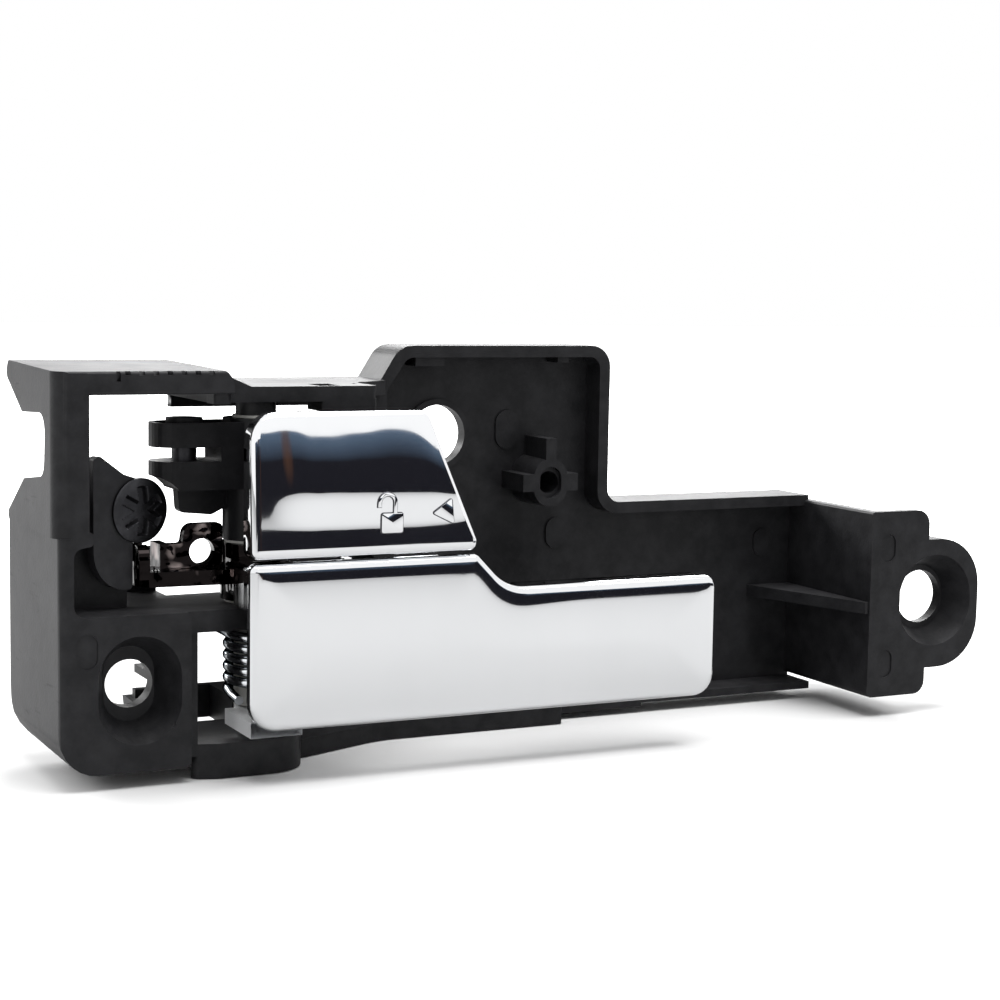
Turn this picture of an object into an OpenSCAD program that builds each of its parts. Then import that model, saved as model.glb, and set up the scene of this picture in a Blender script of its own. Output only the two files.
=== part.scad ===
// Car interior door handle: a moulded housing, a release lever and a lock
// lever that swing on one upright pin, and the small parts between them.
// X runs along the housing, Y runs from the cabin side to the door side,
// Z is up. Lengths are in millimetres.

/* [Housing] */
// Length of the housing without the fixing tab
housing_len = 190.8; // [180:0.1:205]
// Wall thickness of the housing
wall = 2.4; // [1.8:0.1:3]
// Depth of the left block and its end wall
block_depth = 37.5; // [34:0.5:42]
// Width of the left block
block_w = 24.3; // [23:0.1:26]
// Height of the underside of the left block
block_z0 = 2.7; // [1.5:0.1:4]
// Height of the shelf that carries the levers
shelf_z = 31.5; // [30:0.1:32]
// Thickness of the shelf
shelf_t = 4; // [3:0.1:5]
// Height of the ledge above the pocket
ledge_z = 46.9; // [46:0.1:48]
// Width of the corner post and of the ledge
post_w = 5.6; // [4.5:0.1:6.5]
// How far the upper end wall stands out of the block
upper_out = 0.8; // [0:0.1:1.5]
// Height of the top plate at its front edge
top_z = 75.4; // [74.5:0.1:77]
// Length of the top plate
top_len = 32.4; // [30:0.1:34]

/* [Back tray] */
// Depth at which the rim of the tray starts
rim_y = 25.5; // [24:0.1:27]
// Depth of the tray inside its rim
tray_depth = 6; // [4:0.1:7]
// Height of the tray
tray_z = 79; // [77:0.1:82]
// Left side of the tray
tray_x0 = 71; // [69:0.5:73]
// Right side of the tray
tray_x1 = 124.8; // [120:0.1:130]
// Height of the low part of the tray
step_z = 45.6; // [44.5:0.1:46.5]
// Radius of the large hole in the tray
tray_hole_r = 6.2; // [5:0.1:7]
// Height of the cross boss above the tray floor
boss_h = 10; // [6:0.1:11]

/* [Right block] */
// Left side of the right block
right_x0 = 175.6; // [172:0.1:178]
// Height of the top of the right block
right_z1 = 44.5; // [42:0.1:46]
// Height of the underside of the right block
right_z0 = 4.2; // [3:0.1:6]
// Length of the tab beyond the right block
tab_len = 13.8; // [13:0.1:16]
// Depth of the left screw boss
seat_depth = 11; // [10:0.5:13]
// Depth of the right screw boss
tab_depth = 8.5; // [8:0.5:11]

/* [Screw holes] */
// Radius of the left screw hole
hole_left_r = 4.5; // [3.5:0.1:4.7]
// Radius of the right screw hole
hole_right_r = 5.8; // [4:0.1:6]
// Place of the left screw hole along the housing
hole_left_x = 14.7; // [14:0.1:15]
// Height of the left screw hole
hole_left_z = 17.7; // [17:0.1:18.5]
// Place of the right screw hole along the housing
hole_right_x = 193.2; // [192.5:0.1:194]
// Height of the right screw hole
hole_right_z = 24.6; // [24:0.1:25.5]

/* [Pivot] */
// Place of the pivot pin along the housing
pivot_x = 40; // [39.5:0.1:40.5]
// Depth of the pivot pin
pivot_y = 10; // [9.5:0.1:10.5]
// Radius of the pivot pin
pin_r = 2.4; // [2.2:0.1:2.5]
// Radial clearance of the running fits
fit = 0.06; // [0.02:0.01:0.1]
// Thickness of the lower ear
ear_t = 6.5; // [5.5:0.1:7]
// Height of the upper ear
upper_ear_z = 72.2; // [71.5:0.1:73]
// Thickness of the upper ear
upper_ear_t = 2.9; // [2.5:0.1:3.2]

/* [Levers] */
// Depth of the front faces of both levers
lever_y = -8.8; // [-10:0.1:-8]
// Left side of the release lever
lever_x0 = 32.6; // [32:0.1:34]
// Right end of the release lever
lever_x1 = 131.6; // [120:0.1:140]
// Height of the underside of the release lever
lever_z0 = 9.8; // [9:0.1:11]
// Height of the top of the grip
lever_z1 = 34.2; // [32:0.1:36]
// Height of the top of the release lever at the pivot
lever_top = 40.9; // [40:0.1:41]
// Thickness of the lever face
lever_t = 2.4; // [1.8:0.1:2.8]
// Height of the underside of the lock cap
cap_z0 = 41.6; // [41.3:0.1:43]
// Height of the top of the lock cap
cap_z1 = 68.2; // [66:0.1:69]
// Right side of the lock cap at its foot
cap_foot_x = 78.8; // [74:0.1:80]
// Right side of the lock cap at its top
cap_top_x = 67.7; // [64:0.1:70]

/* [Springs] */
// Wire thickness of the return spring
wire_d = 1.8; // [1.4:0.1:1.9]
// Mean radius of the return spring
coil_r = 5.2; // [4.8:0.1:5.4]
// Number of turns of the return spring
coil_turns = 5; // [4:1:5]
// Ball radius of the lock detent
ball_r = 1.6; // [1.4:0.1:1.7]

/* [Hidden] */
// Lowest and foremost points set the origin: the middle of the footprint.
overall_x0 = -upper_out;
overall_x1 = housing_len + tab_len;
overall_y1 = block_depth;
frame_x = (overall_x0 + overall_x1) / 2;
frame_y = (lever_y + overall_y1) / 2;
floor_y = rim_y + tray_depth;
back_y = floor_y + wall;
skirt_y = block_depth;
pivot = [pivot_x, pivot_y];
corner_steps = 6;
flange_t = 3.6;
step_x = 111.5;
// Heights along the pin, from the lower ear up
low_hub_z0 = ear_t + 0.4;
low_hub_z1 = low_hub_z0 + 4.6;
shelf_z0 = shelf_z - shelf_t;
washer_t = 0.6;
hub_z0 = shelf_z + washer_t;
hub_z1 = 42.8;
lock_z0 = hub_z1 + washer_t;
lock_z1 = 66.2;
ear_boss_z = lock_z1 + washer_t;
upper_ear_z0 = upper_ear_z - upper_ear_t;
pin_top = upper_ear_z - 1.4;
pin_head_r = 4;
pin_head_t = 1.4;
hub_r = 6.6;
low_hub_r = 3.9;
lock_hub_r = 6.2;
bush_t = 1;
bush_r = pin_r + fit + bush_t;
bush_len = 4;
// Lock arm
arm_x0 = 19.4;
arm_z0 = 53.2;
arm_r = 4.8;
arm_gap_z0 = 58.5;
arm_gap_z1 = 61.1;
arm_end_x = arm_x0 + arm_r;
cable_pin_r = 2.3;
// Screw and its plate
screw_x = 16.8;
screw_z = 49.6;
screw_turn = 20;
screw_r = 2;
head_r = 5.7;
head_y = 5.4;
plate_y0 = 8;
plate_y1 = 10;
insert_r = 3;
// Outline of the release lever's face
lever_step_x = 78.2;
lever_slope_x = 84.6;
lever_slope_r = 9;
lever_low_r = 5.5;
lever_end_r = 4.5;
lever_edge_r = 2.4;
lever_top_r = 1.4;
// Lips and ribs behind the faces
lip_depth = 6.4;
lip_t = 1.6;
rib_t = 1.4;
grip_ribs = [58, 76, 94, 112];
// Arm that pulls the door cable
hook_x0 = 16.2;
hook_x1 = 18.2;
hook_z0 = 37;
hook_z1 = 43.2;
cable_arm_z0 = 35.6;
cable_arm_z1 = 38.4;
eye_x = 28.6;
eye_z = 41.6;
eye_r = 2.4;
// Lock cap
cap_depth = 5;
cap_floor = 2.2;
cap_hollow = 0.7;
cap_wall = 1.6;
// Return spring
coil_z0 = 14.6;
coil_gap = 0.36;
// Retainer screw
slot_depth = 1.4;
slot_w = 1.5;
slot_len = 7;
// Lock detent
detent_x = 58;
detent_y = 9.5;
detent_z = lock_z1 + 0.4;
groove_r = norm([detent_x - pivot_x, detent_y - pivot_y]);
detent_wire_r = 0.22;
detent_coil_r = 1.2;
detent_pitch = 0.65;
detent_fit = 0.15;
// Funnels of the screw holes
mouth_left_r = 7.8;
mouth_left_s = 2.2;
mouth_right_r = 9.6;
mouth_right_s = 0.4;
// Cross boss in the tray
boss_x = 109;
boss_z = 50.7;
boss_y = floor_y - boss_h;
boss_bore_r = 2.3;
boss_arm = 6.4;
boss_arm_t = 3.6;
boss_fin = 9.2;
boss_fin_t = 2.4;
// Large hole in the tray and the low rim around it
hole_x = 87.1;
hole_z = 60.4;
hole_rim = 1.2;
hole_rim_h = 0.8;
// Raised discs of the mould ejectors: place, radius and half height
tray_discs = [[103.4, 61.2, 2.7, 1.4], [115.4, 38.8, 2.3, 1],
              [168, 34.6, 2, 1]];
disc_h = 0.5;
// Ribs across the back of the tray
back_ribs = [96, 130, 152];
back_rib_t = 1.6;
// Pads below the upper rim: left, right and foot
rim_pads = [[80, 86.4, 74.8], [112.6, 115.2, 75.4]];
// Tab and the gusset of the right block
tab_top = 38;
tab_foot = 9.8;
tab_r = 10.5;
gusset_z0 = 22.5;
gusset_z1 = 25;
gusset_len = 11;
// Straight part of the left bore and the window in the block's right wall
bore_len = 3.4;
window_y = 20;
window_z0 = 9.5;
window_z1 = 28;
// Witness marks of the mould ejectors on the right block
witness_z = [11.4, 36.6];
witness_x = 180;
witness_r = 1.9;
// Foot of the tray and its second step
step_z0 = 1.2;
step_z2 = 2;
step_x2 = 133;
// Rounded upright corners at the left end
low_corner_r = 1.8;
high_corner_r = 3.4;
corner_z = 45.8;
// Marks of the parting line on the top plate
nick_x = 12;
nick_pitch = 2.6;
nicks = 7;

// One rounded corner of an outline: each corner is [x, y, radius].
function corner(a, p, b, n) =
    p[2] == 0 ? [[p[0], p[1]]] :
    let (q = [p[0], p[1]],
         u = [a[0] - p[0], a[1] - p[1]] / norm([a[0] - p[0], a[1] - p[1]]),
         v = [b[0] - p[0], b[1] - p[1]] / norm([b[0] - p[0], b[1] - p[1]]),
         half = acos(u * v) / 2,
         c = q + (u + v) / norm(u + v) * p[2] / sin(half),
         s = q + u * p[2] / tan(half) - c,
         e = q + v * p[2] / tan(half) - c,
         turn = (s[0] * e[1] - s[1] * e[0]) > 0 ? 1 : -1,
         sweep = 180 - 2 * half,
         start = atan2(s[1], s[0]))
    [for (i = [0:n]) c + p[2] * [cos(start + turn * sweep * i / n),
                                 sin(start + turn * sweep * i / n)]];

function rounded(c, n) =
    [for (i = [0:len(c) - 1])
        each corner(c[(i + len(c) - 1) % len(c)], c[i],
                    c[(i + 1) % len(c)], n)];

module outline(c, n = corner_steps) { polygon(rounded(c, n)); }

// A front-view outline carried from depth y0 to depth y1
module front(y0, y1) {
    translate([0, y1, 0]) rotate([90, 0, 0])
        linear_extrude(y1 - y0) children();
}

// A plan-view outline carried from height z0 to height z1
module plan(z0, z1) {
    translate([0, 0, z0]) linear_extrude(z1 - z0) children();
}

// A side-view outline carried from x0 to x1
module side(x0, x1) {
    translate([x0, 0, 0]) rotate([90, 0, 90])
        linear_extrude(x1 - x0) children();
}

module box(a, b) { translate(a) cube(b - a); }

module post(p, z0, z1, r) {
    translate([p[0], p[1], z0]) cylinder(h = z1 - z0, r = r, $fn = 48);
}

// A round bar or bore that runs from the front to the back
module deep(x, z, y0, y1, r0, r1) {
    translate([x, y0, z]) rotate([-90, 0, 0])
        cylinder(h = y1 - y0, r1 = r0, r2 = r1, $fn = 48);
}

// Two equal cones one above the other, joined by a wedge
module tall_cone(x, z, y0, y1, r0, r1, spread) {
    for (s = [-1, 1]) deep(x, z + s * spread, y0, y1, r0, r1);
    plan(z - spread, z + spread)
        polygon([[x - r0, y0], [x + r0, y0], [x + r1, y1], [x - r1, y1]]);
}

// The retainer screw and its plate stand at an angle to the housing
module turned() {
    translate([screw_x, plate_y0, 0]) rotate([0, 0, screw_turn])
        translate([-screw_x, -plate_y0, 0]) children();
}

// Waste outside a rounded upright corner
module corner_cut(x, r, z0, z1) {
    difference() {
        box([x - 1, -1, z0], [x + r, r, z1]);
        post([x + r, r], z0 - 1, z1 + 1, r);
    }
}

module at_frame() { translate([-frame_x, -frame_y, 0]) children(); }

// Front outlines of the housing
block_out = [[0, block_z0, 7], [block_w, block_z0, 1],
             [block_w, shelf_z, 0.8], [0, shelf_z, 0]];
plate_out = [[50, 0, 0], [step_x, 0, 0.5], [step_x, step_z0, 0.5],
             [step_x2, step_z0, 0.3], [step_x2, step_z2, 0.3],
             [right_x0 + 1, step_z2, 0],
             [right_x0 + 1, step_z, 0], [tray_x1, step_z, 3],
             [tray_x1, tray_z, 4.5], [76.3, tray_z, 5],
             [tray_x0, 70.5, 2], [tray_x0, 43, 1], [50, 43, 1]];
tray_in = [[49, flange_t, 0], [right_x0 + 2, flange_t, 0],
           [right_x0 + 2, step_z - wall, 0],
           [tray_x1 - wall, step_z - wall, 5],
           [tray_x1 - wall, tray_z - wall, 2.5],
           [77.9, tray_z - wall, 2.8],
           [tray_x0 + wall, 69.9, 1], [tray_x0 + wall, 42, 0], [49, 42, 0]];
tab_out = [[right_x0 + 9, tab_foot, 0],
           [overall_x1, tab_foot, tab_r], [overall_x1, tab_top, tab_r],
           [right_x0 + 9, tab_top, 0]];

module left_block() {
    difference() {
        intersection() {
            front(0, block_depth) outline(block_out);
            side(-1, block_w + 1) outline([
                [0, block_z0, 0], [block_depth, block_z0, 11],
                [block_depth, shelf_z, 0], [0, shelf_z, 0]]);
        }
        front(wall, block_depth + 1) outline([
            [wall, block_z0 + wall, 5],
            [block_w - wall, block_z0 + wall, 0.5],
            [block_w - wall, shelf_z - wall, 0.5],
            [wall, shelf_z - wall, 0.5]]);
        // Window in the right wall, behind the screw hole
        box([block_w - wall - 0.5, window_y, window_z0],
            [block_w + 0.5, block_depth + 1, window_z1]);
    }
    tall_cone(hole_left_x, hole_left_z, 0.5, seat_depth,
              mouth_left_r + wall - 0.6, hole_left_r + wall, mouth_left_s);
    for (x = [hole_left_x - 0.8], z = [block_z0 + 1, 26])
        box([x, wall - 1, z], [x + 1.6, 22, z == 26 ? shelf_z - 1 : 10]);
    box([wall - 1, wall - 1, hole_left_z - 0.8], [9, 22, hole_left_z + 0.8]);
    box([20, wall - 1, hole_left_z - 0.8],
        [block_w - 1, 22, hole_left_z + 0.8]);
    // Narrow web beside the block, set back from its front
    box([block_w - 1, 2, block_z0 + 1.5],
        [block_w + 1.8, 5, shelf_z0 + 0.5]);
}

module end_wall() {
    // Lower part, level with the block
    side(0, wall) outline([
        [0, shelf_z - 2, 0], [block_depth, shelf_z - 2, 0],
        [block_depth, 46.5, 1], [0, 46.5, 0]]);
    // Upper part with the notch for the lock cable
    side(-upper_out, 1.8) outline([
        [0, 45.8, 0], [block_depth, 45.8, 1], [22.3, 54.7, 2],
        [7.6, 56.4, 3.2], [6.4, 67.8, 3.6], [23.5, 66.9, 1],
        [36, 73.3, 1.4], [34, 76, 1.4], [0, top_z, 0.6]], 8);
    // Strip, ledge and corner post at the front
    front(0, 9) outline([
        [0, shelf_z - 1, 0], [8, shelf_z - 1, 0], [8, shelf_z, 0],
        [2.6, shelf_z, 2.2], [2.6, 43.8, 1.8], [post_w + 0.6, 44.4, 0.8],
        [post_w + 0.6, ledge_z, 0.8], [0, ledge_z, 0]], 8);
    plan(46, top_z - 0.3) outline([
        [-upper_out, 0, 0], [post_w, 0, 0.5], [post_w, 3, 0.6],
        [1.5, 5, 0], [-upper_out, 5, 0]]);
    // Inner wall behind the pocket
    box([1, plate_y1 + 0.3, shelf_z - 1],
        [15.2, plate_y1 + 0.3 + wall, 46.5]);
}

module top_plate() {
    difference() {
        intersection() {
            side(-upper_out, top_len) outline([
                [0, 71.2, 0.4], [0, top_z, 0.6], [34, 76, 1.4],
                [36, 73.3, 1], [2, 72.6, 0], [2, 71.2, 0]]);
            front(-1, block_depth) outline([
                [-upper_out - 1, 70, 0], [top_len, 70, 0],
                [top_len, 76.2, 4], [-upper_out - 1, 76.2, 0]], 8);
        }
        // Chipped front edge of the parting line
        for (i = [0:nicks - 1])
            box([nick_x + i * nick_pitch, -0.5, top_z - 0.7],
                [nick_x + 1 + i * nick_pitch, 0.7, top_z + 1]);
        box([10.4, -0.5, 73.6], [11.2, 0.6, top_z + 1]);
    }
    // Foot of the plate where it meets the ear
    plan(upper_ear_z0, 72.8) outline([
        [top_len - 3.6, 0.6, 1], [top_len - 0.2, 0.6, 1],
        [top_len - 0.2, 6, 1], [top_len - 3.6, 6, 1]]);
}

module upper_ear() {
    difference() {
        plan(upper_ear_z0, upper_ear_z) outline([
            [top_len - 3, 5, 0], [62.6, 5, 0.8], [62.6, 16, 4],
            [tray_x0 + 1, 23, 0], [tray_x0 + 1, skirt_y, 0],
            [top_len - 3, skirt_y, 0]]);
        // Window beside the detent
        plan(upper_ear_z - 1.6, upper_ear_z + 1) outline([
            [51.2, 6.2, 0.4], [55.6, 6.2, 0.4],
            [55.6, 12.8, 0.4], [51.2, 12.8, 0.4]]);
        box([60.4, 11.6, upper_ear_z - 0.8], [61.4, 13, upper_ear_z + 1]);
    }
    plan(ear_boss_z + 0.6, upper_ear_z0 + 0.5) outline([
        [51.4, 5, 0.6], [62.6, 5, 0.6], [62.6, 13.6, 1], [51.4, 13.6, 1]]);
    post(pivot, ear_boss_z, upper_ear_z0 + 0.5, 3.8);
    // Ramp from the ear up to the top plate
    front(5, 30) polygon([[top_len - 1, upper_ear_z - 1],
                          [top_len + 5, upper_ear_z - 0.5],
                          [top_len + 5, upper_ear_z],
                          [top_len - 1, top_z - 0.6]]);
    // Back web that ties the ear to the tray
    box([top_len - 1, skirt_y - wall, 66.6],
        [tray_x0 + 1, skirt_y, upper_ear_z]);
}

module tray() {
    difference() {
        front(rim_y, skirt_y) outline(plate_out, 8);
        front(rim_y - 1, floor_y) outline(tray_in, 8);
        front(back_y, skirt_y + 1) outline(tray_in, 8);
        deep(hole_x, hole_z, rim_y, skirt_y + 1, tray_hole_r, tray_hole_r);
    }
    // Low rim around the large hole
    difference() {
        deep(hole_x, hole_z, floor_y - hole_rim_h, floor_y + 0.5,
             tray_hole_r + hole_rim, tray_hole_r + hole_rim);
        deep(hole_x, hole_z, floor_y - 2, floor_y + 1,
             tray_hole_r, tray_hole_r);
    }
    cross_boss();
    // Raised discs left by the mould ejectors
    for (d = tray_discs)
        tall_cone(d[0], d[1], floor_y - disc_h, floor_y + 0.2,
                  d[2], d[2], d[3]);
    // Two pads below the upper rim
    for (p = rim_pads)
        box([p[0], rim_y + 0.8, p[2]], [p[1], floor_y, tray_z - 1.6]);
    // Ribs across the back
    for (x = back_ribs)
        box([x, back_y - 0.5, flange_t - 0.5],
            [x + back_rib_t, skirt_y - 0.4, step_z - wall + 0.5]);
}

module cross_boss() {
    difference() {
        union() {
            tall_cone(boss_x, boss_z, boss_y, floor_y + 0.5, 3.9, 4.2, 1.1);
            box([boss_x - boss_arm, boss_y, boss_z - boss_arm_t / 2],
                [boss_x + boss_arm, floor_y + 0.5, boss_z + boss_arm_t / 2]);
            box([boss_x - boss_fin_t / 2, boss_y, boss_z],
                [boss_x + boss_fin_t / 2, floor_y + 0.5, boss_z + boss_fin]);
        }
        deep(boss_x, boss_z, boss_y - 1, floor_y - 1,
             boss_bore_r, boss_bore_r);
        tall_cone(boss_x, boss_z, boss_y - 1, boss_y + 1.2, 2.5, 2.5, 0.8);
    }
}

module lower_flange() {
    // Flange that runs from the ear along the foot of the tray
    plan(0, flange_t) outline([
        [46, 4, 0], [48.6, 10, 0], [58, 14, 10], [70, 19, 20],
        [step_x, 19, 0.5], [step_x, back_y, 0], [46, back_y, 0]]);
    box([step_x - 1, 23, step_z0], [step_x2, back_y, flange_t]);
    box([step_x2 - 1, 23, step_z2], [right_x0 + 1, back_y, flange_t]);
    // Ear that carries the foot of the pin
    plan(0, ear_t) outline([
        [block_w + 0.4, 2.4, 1.4], [30, 0.8, 4], [48.6, 0.8, 8.6],
        [48.6, 18, 3], [44, 21, 3], [33.7, 21, 0]], 8);
    plan(block_z0 + 0.2, ear_t) outline([
        [block_w - 2, 3, 0], [32, 3, 0], [36, 21, 0],
        [block_w - 2, 21, 0]]);
    // Rail between the ear and the back
    box([pivot_x - 1.4, 19, 4.6], [pivot_x + 1.6, block_depth - 3, 11.2]);
    box([block_w - 1, block_depth - 5, 4.6],
        [52, block_depth - 3, 11.2]);
}

module shelf() {
    plan(shelf_z0, shelf_z) outline([
        [block_w - 2, 1, 0], [50, 1, 8], [52, 18, 3],
        [60, 28, 3], [60, back_y, 0], [50, back_y, 0],
        [46, 22, 4], [block_w - 2, 21, 0]], 8);
    // Bracket for the rest pad, hidden behind the lever
    box([49, -3, shelf_z0], [53, 6, shelf_z - 1]);
    // Rest for the upper leg of the return spring
    box([pivot_x + 2, 21.2, 22], [pivot_x + 8, 23.2, shelf_z0 + 1]);
    // Upstand that limits the opening swing
    box([20, 27.5, shelf_z - 1], [26, 30, 40]);
    box([block_w - 2, 20, shelf_z - wall], [26, 30, shelf_z]);
}

module right_block() {
    difference() {
        front(0, skirt_y) outline([
            [right_x0, right_z0, 1.2], [housing_len, right_z0, 2.8],
            [housing_len, right_z1, 3.2], [right_x0, right_z1, 0.6]]);
        // Hollow, open at the back and at the top
        front(wall, skirt_y + 1) outline([
            [right_x0 + wall, right_z0 + wall, 0.5],
            [housing_len - wall, right_z0 + wall, 0.5],
            [housing_len - wall, right_z1 + 1, 0],
            [right_x0 + wall, right_z1 + 1, 0]]);
        box([right_x0 + wall, wall, tab_top], [housing_len + 1, skirt_y + 1,
                                               right_z1 + 1]);
        // Witness marks of the mould ejectors
        for (z = witness_z)
            tall_cone(witness_x, z, -0.5, 0.3, witness_r, witness_r, 1.1);
    }
    front(0, tab_depth) outline(tab_out, 10);
    // Gusset between the tray and the block
    plan(gusset_z0, gusset_z1) polygon([
        [right_x0 + 1, 0.4], [right_x0 - 0.9, 0.4],
        [right_x0 - gusset_len, floor_y + 0.5],
        [right_x0 + 1, floor_y + 0.5]]);
}

module screw_bracket() {
    // Bracket off the end wall that takes the retainer screw
    box([1, plate_y1, 46], [14, plate_y1 + wall, 54.4]);
    turned() deep(screw_x, screw_z, plate_y1, plate_y1 + 9, 4.5, 4.5);
}

module base_frame() {
    color("#26272a") at_frame() difference() {
        union() {
            left_block();
            end_wall();
            top_plate();
            upper_ear();
            tray();
            lower_flange();
            shelf();
            right_block();
            screw_bracket();
        }
        // Left screw hole and its funnel
        tall_cone(hole_left_x, hole_left_z, -0.01, seat_depth - bore_len,
                  mouth_left_r, hole_left_r + 0.3, mouth_left_s);
        deep(hole_left_x, hole_left_z, 0, seat_depth + 1,
             hole_left_r, hole_left_r);
        // Right screw hole and its funnel
        tall_cone(hole_right_x - 0.3, hole_right_z, -0.01, tab_depth - wall,
                  mouth_right_r, hole_right_r + 0.8, mouth_right_s);
        deep(hole_right_x, hole_right_z, 0, tab_depth + 1,
             hole_right_r, hole_right_r);
        // Bore of the pivot pin and the pocket for its head
        post(pivot, -1, pin_top + 0.1, pin_r);
        post(pivot, -1, pin_head_t + 0.5, pin_head_r + 0.1);
        // Bore of the threaded insert
        turned() deep(screw_x, screw_z, plate_y1 - 1, plate_y1 + 8,
                      insert_r, insert_r);
        // Rounded front corners at the left end
        corner_cut(0, low_corner_r, block_z0 - 1, corner_z);
        corner_cut(-upper_out, high_corner_r, corner_z, top_z + 2);
        // Bore of the detent
        post([detent_x, detent_y], ear_boss_z, upper_ear_z - 1,
             ball_r + detent_fit);
        // Mark on the left block
        tall_cone(4.9, 25.4, -0.5, 0.25, 2, 2, 1.2);
        deep(20.6, 11.2, -0.5, 0.3, 0.8, 0.8);
    }
}

module lever_face() {
    front(lever_y, lever_y + lever_t) outline([
        [lever_x0, lever_z0, lever_low_r],
        [lever_x1, lever_z0, lever_end_r],
        [lever_x1, lever_z1, lever_edge_r],
        [lever_slope_x, lever_z1, lever_slope_r],
        [lever_step_x, lever_top, lever_top_r],
        [lever_x0, lever_top, lever_top_r]], 8);
}

module release_lever() {
    lip_y = lever_y + lip_depth;
    color("#d9dadc") at_frame() difference() {
        union() {
            lever_face();
            // Return of the left edge and the lips behind the face
            box([lever_x0, lever_y + 1, hub_z0 + 0.2],
                [lever_x0 + 1.8, pivot_y - 9, lever_top - 1.5]);
            box([lever_x0 + 5, lever_y + 1, lever_z0],
                [lever_x1 - 5, lip_y, lever_z0 + lip_t]);
            box([lever_slope_x + 3.4, lever_y + 1, lever_z1 - lip_t],
                [lever_x1 - 3, lip_y, lever_z1]);
            box([lever_x0 + 2, lever_y + 1, lever_top - lip_t],
                [lever_step_x - 1.2, lip_y, lever_top]);
            // Ribs behind the grip
            for (x = grip_ribs)
                box([x, lever_y + 1, lever_z0 + 1],
                    [x + rib_t, lip_y - 1, lever_z1 - 1.2]);
            // Upper arm and hub
            box([lever_x0 + 1, lever_y + 1, hub_z0 + 1.5],
                [pivot_x + 5, pivot_y, hub_z1 - 2.6]);
            post(pivot, hub_z0, hub_z1, hub_r);
            // Lower arm and hub
            box([lever_x0 + 0.8, lever_y + 1.2, low_hub_z0 + 1.7],
                [pivot_x + 3.4, pivot_y - 2, low_hub_z1]);
            post(pivot, low_hub_z0, low_hub_z1, low_hub_r);
            cable_arm();
        }
        post(pivot, hub_z0 - 1, hub_z1 + 1, bush_r);
        post(pivot, low_hub_z0 - 1, low_hub_z1 + 1, pin_r + fit);
    }
}

// Arm that pulls the door cable
module cable_arm() {
    plan(cable_arm_z0, cable_arm_z1) outline([
        [pivot_x - 2, 4.4, 0], [hook_x1 + 0.2, 5.2, 2], [hook_x0, 8, 1],
        [hook_x0, 13.4, 2], [pivot_x - 2, 14.6, 0]]);
    difference() {
        front(7.4, 9.6) outline([
            [20.6, hook_z0, 0], [32.6, hook_z0, 0], [32.6, 46.8, 0.8],
            [25.4, 46.8, 2], [24.8, hook_z1, 0.6], [20.6, hook_z1, 0.6]]);
        deep(eye_x, eye_z, 6, 11, eye_r, eye_r);
    }
    box([20.6, 7.4, 38], [22.4, 13.6, hook_z1]);
    difference() {
        side(hook_x0, hook_x1) outline([
            [5.6, hook_z0, 0], [13.4, hook_z0, 0], [13.4, hook_z1, 2],
            [5.6, hook_z1, 2.6]]);
        box([16, 8.6, 40], [18.6, 10.6, 45]);
    }
}

module lock_carrier() {
    color("#2b2c2f") at_frame() difference() {
        union() {
            post(pivot, lock_z0, lock_z1, lock_hub_r);
            // Arm with its rounded end
            plan(arm_z0, lock_z1 - 0.6) outline([
                [pivot_x, pivot_y - arm_r, 0],
                [arm_x0, pivot_y - arm_r, arm_r - 0.2],
                [arm_x0, pivot_y + arm_r, arm_r - 0.2],
                [pivot_x, pivot_y + arm_r, 0]], 8);
            post([arm_end_x + 1.8, pivot_y], lock_z1 - 2, lock_z1 + 0.2, 3.4);
            // Lower web below the arm
            front(pivot_y - 1, pivot_y + 2) outline([
                [24.4, arm_z0 + 0.5, 0], [24.8, 48.8, 1], [31, 48.2, 1],
                [33, 49.2, 0], [pivot_x, 49.2, 0],
                [pivot_x, arm_z0 + 0.5, 0]]);
            // Plate behind the cap and the arm that carries it
            box([pivot_x - 2, -4.4, 46], [pivot_x + 6, pivot_y, 64.6]);
            front(lever_y + cap_floor, -3.2) outline([
                [36.4, 45, 2], [73.4, 45, 2], [64.4, 65.6, 2],
                [36.4, 65.6, 4]]);
            // Sector that runs below the detent ball
            plan(lock_z1 - 2.4, lock_z1) outline([
                [pivot_x + 2, pivot_y - 8, 0], [62, -1, 3], [62.6, 12.6, 2],
                [pivot_x + 2, pivot_y + 4, 0]]);
        }
        post(pivot, lock_z0 - 1, lock_z1 + 1, pin_r + fit);
        post(pivot, lock_z0 - 1, lock_z0 + bush_len, bush_r);
        post(pivot, lock_z1 - bush_len, lock_z1 + 1, bush_r);
        // Slot for the lock cable and the hole of its pin
        plan(arm_gap_z0, arm_gap_z1) outline([
            [arm_x0 - 1, 0, 0], [31.6, 0, 0], [31.6, 20, 0],
            [arm_x0 - 1, 20, 0]]);
        post([arm_end_x + 1.8, pivot_y], arm_z0 + 1.2, lock_z1 + 1,
             cable_pin_r);
        // Chamfer that clears the retainer screw
        front(0, 20) polygon([
            [arm_x0 - 1, arm_z0 - 1], [24, arm_z0 - 1],
            [23.4, 53.6], [22, 54.8], [20.4, 55.6], [arm_x0 - 1, 56]]);
        // Channel in the top of the arm
        difference() {
            plan(lock_z1 - 1.8, lock_z1) outline([
                [arm_x0 + 1, 6.2, 3], [34.2, 6.2, 0], [34.2, 13.8, 0],
                [arm_x0 + 1, 13.8, 3]]);
            post([arm_end_x + 1.8, pivot_y], lock_z1 - 2, lock_z1 + 0.2, 3.4);
        }
        // Groove in which the detent ball runs
        translate([pivot_x, pivot_y, detent_z + ball_r - 0.4])
            rotate([0, 0, -18]) rotate_extrude(angle = 24, $fn = 64)
                translate([groove_r, 0]) circle(r = ball_r + 0.08, $fn = 24);
    }
}

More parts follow.
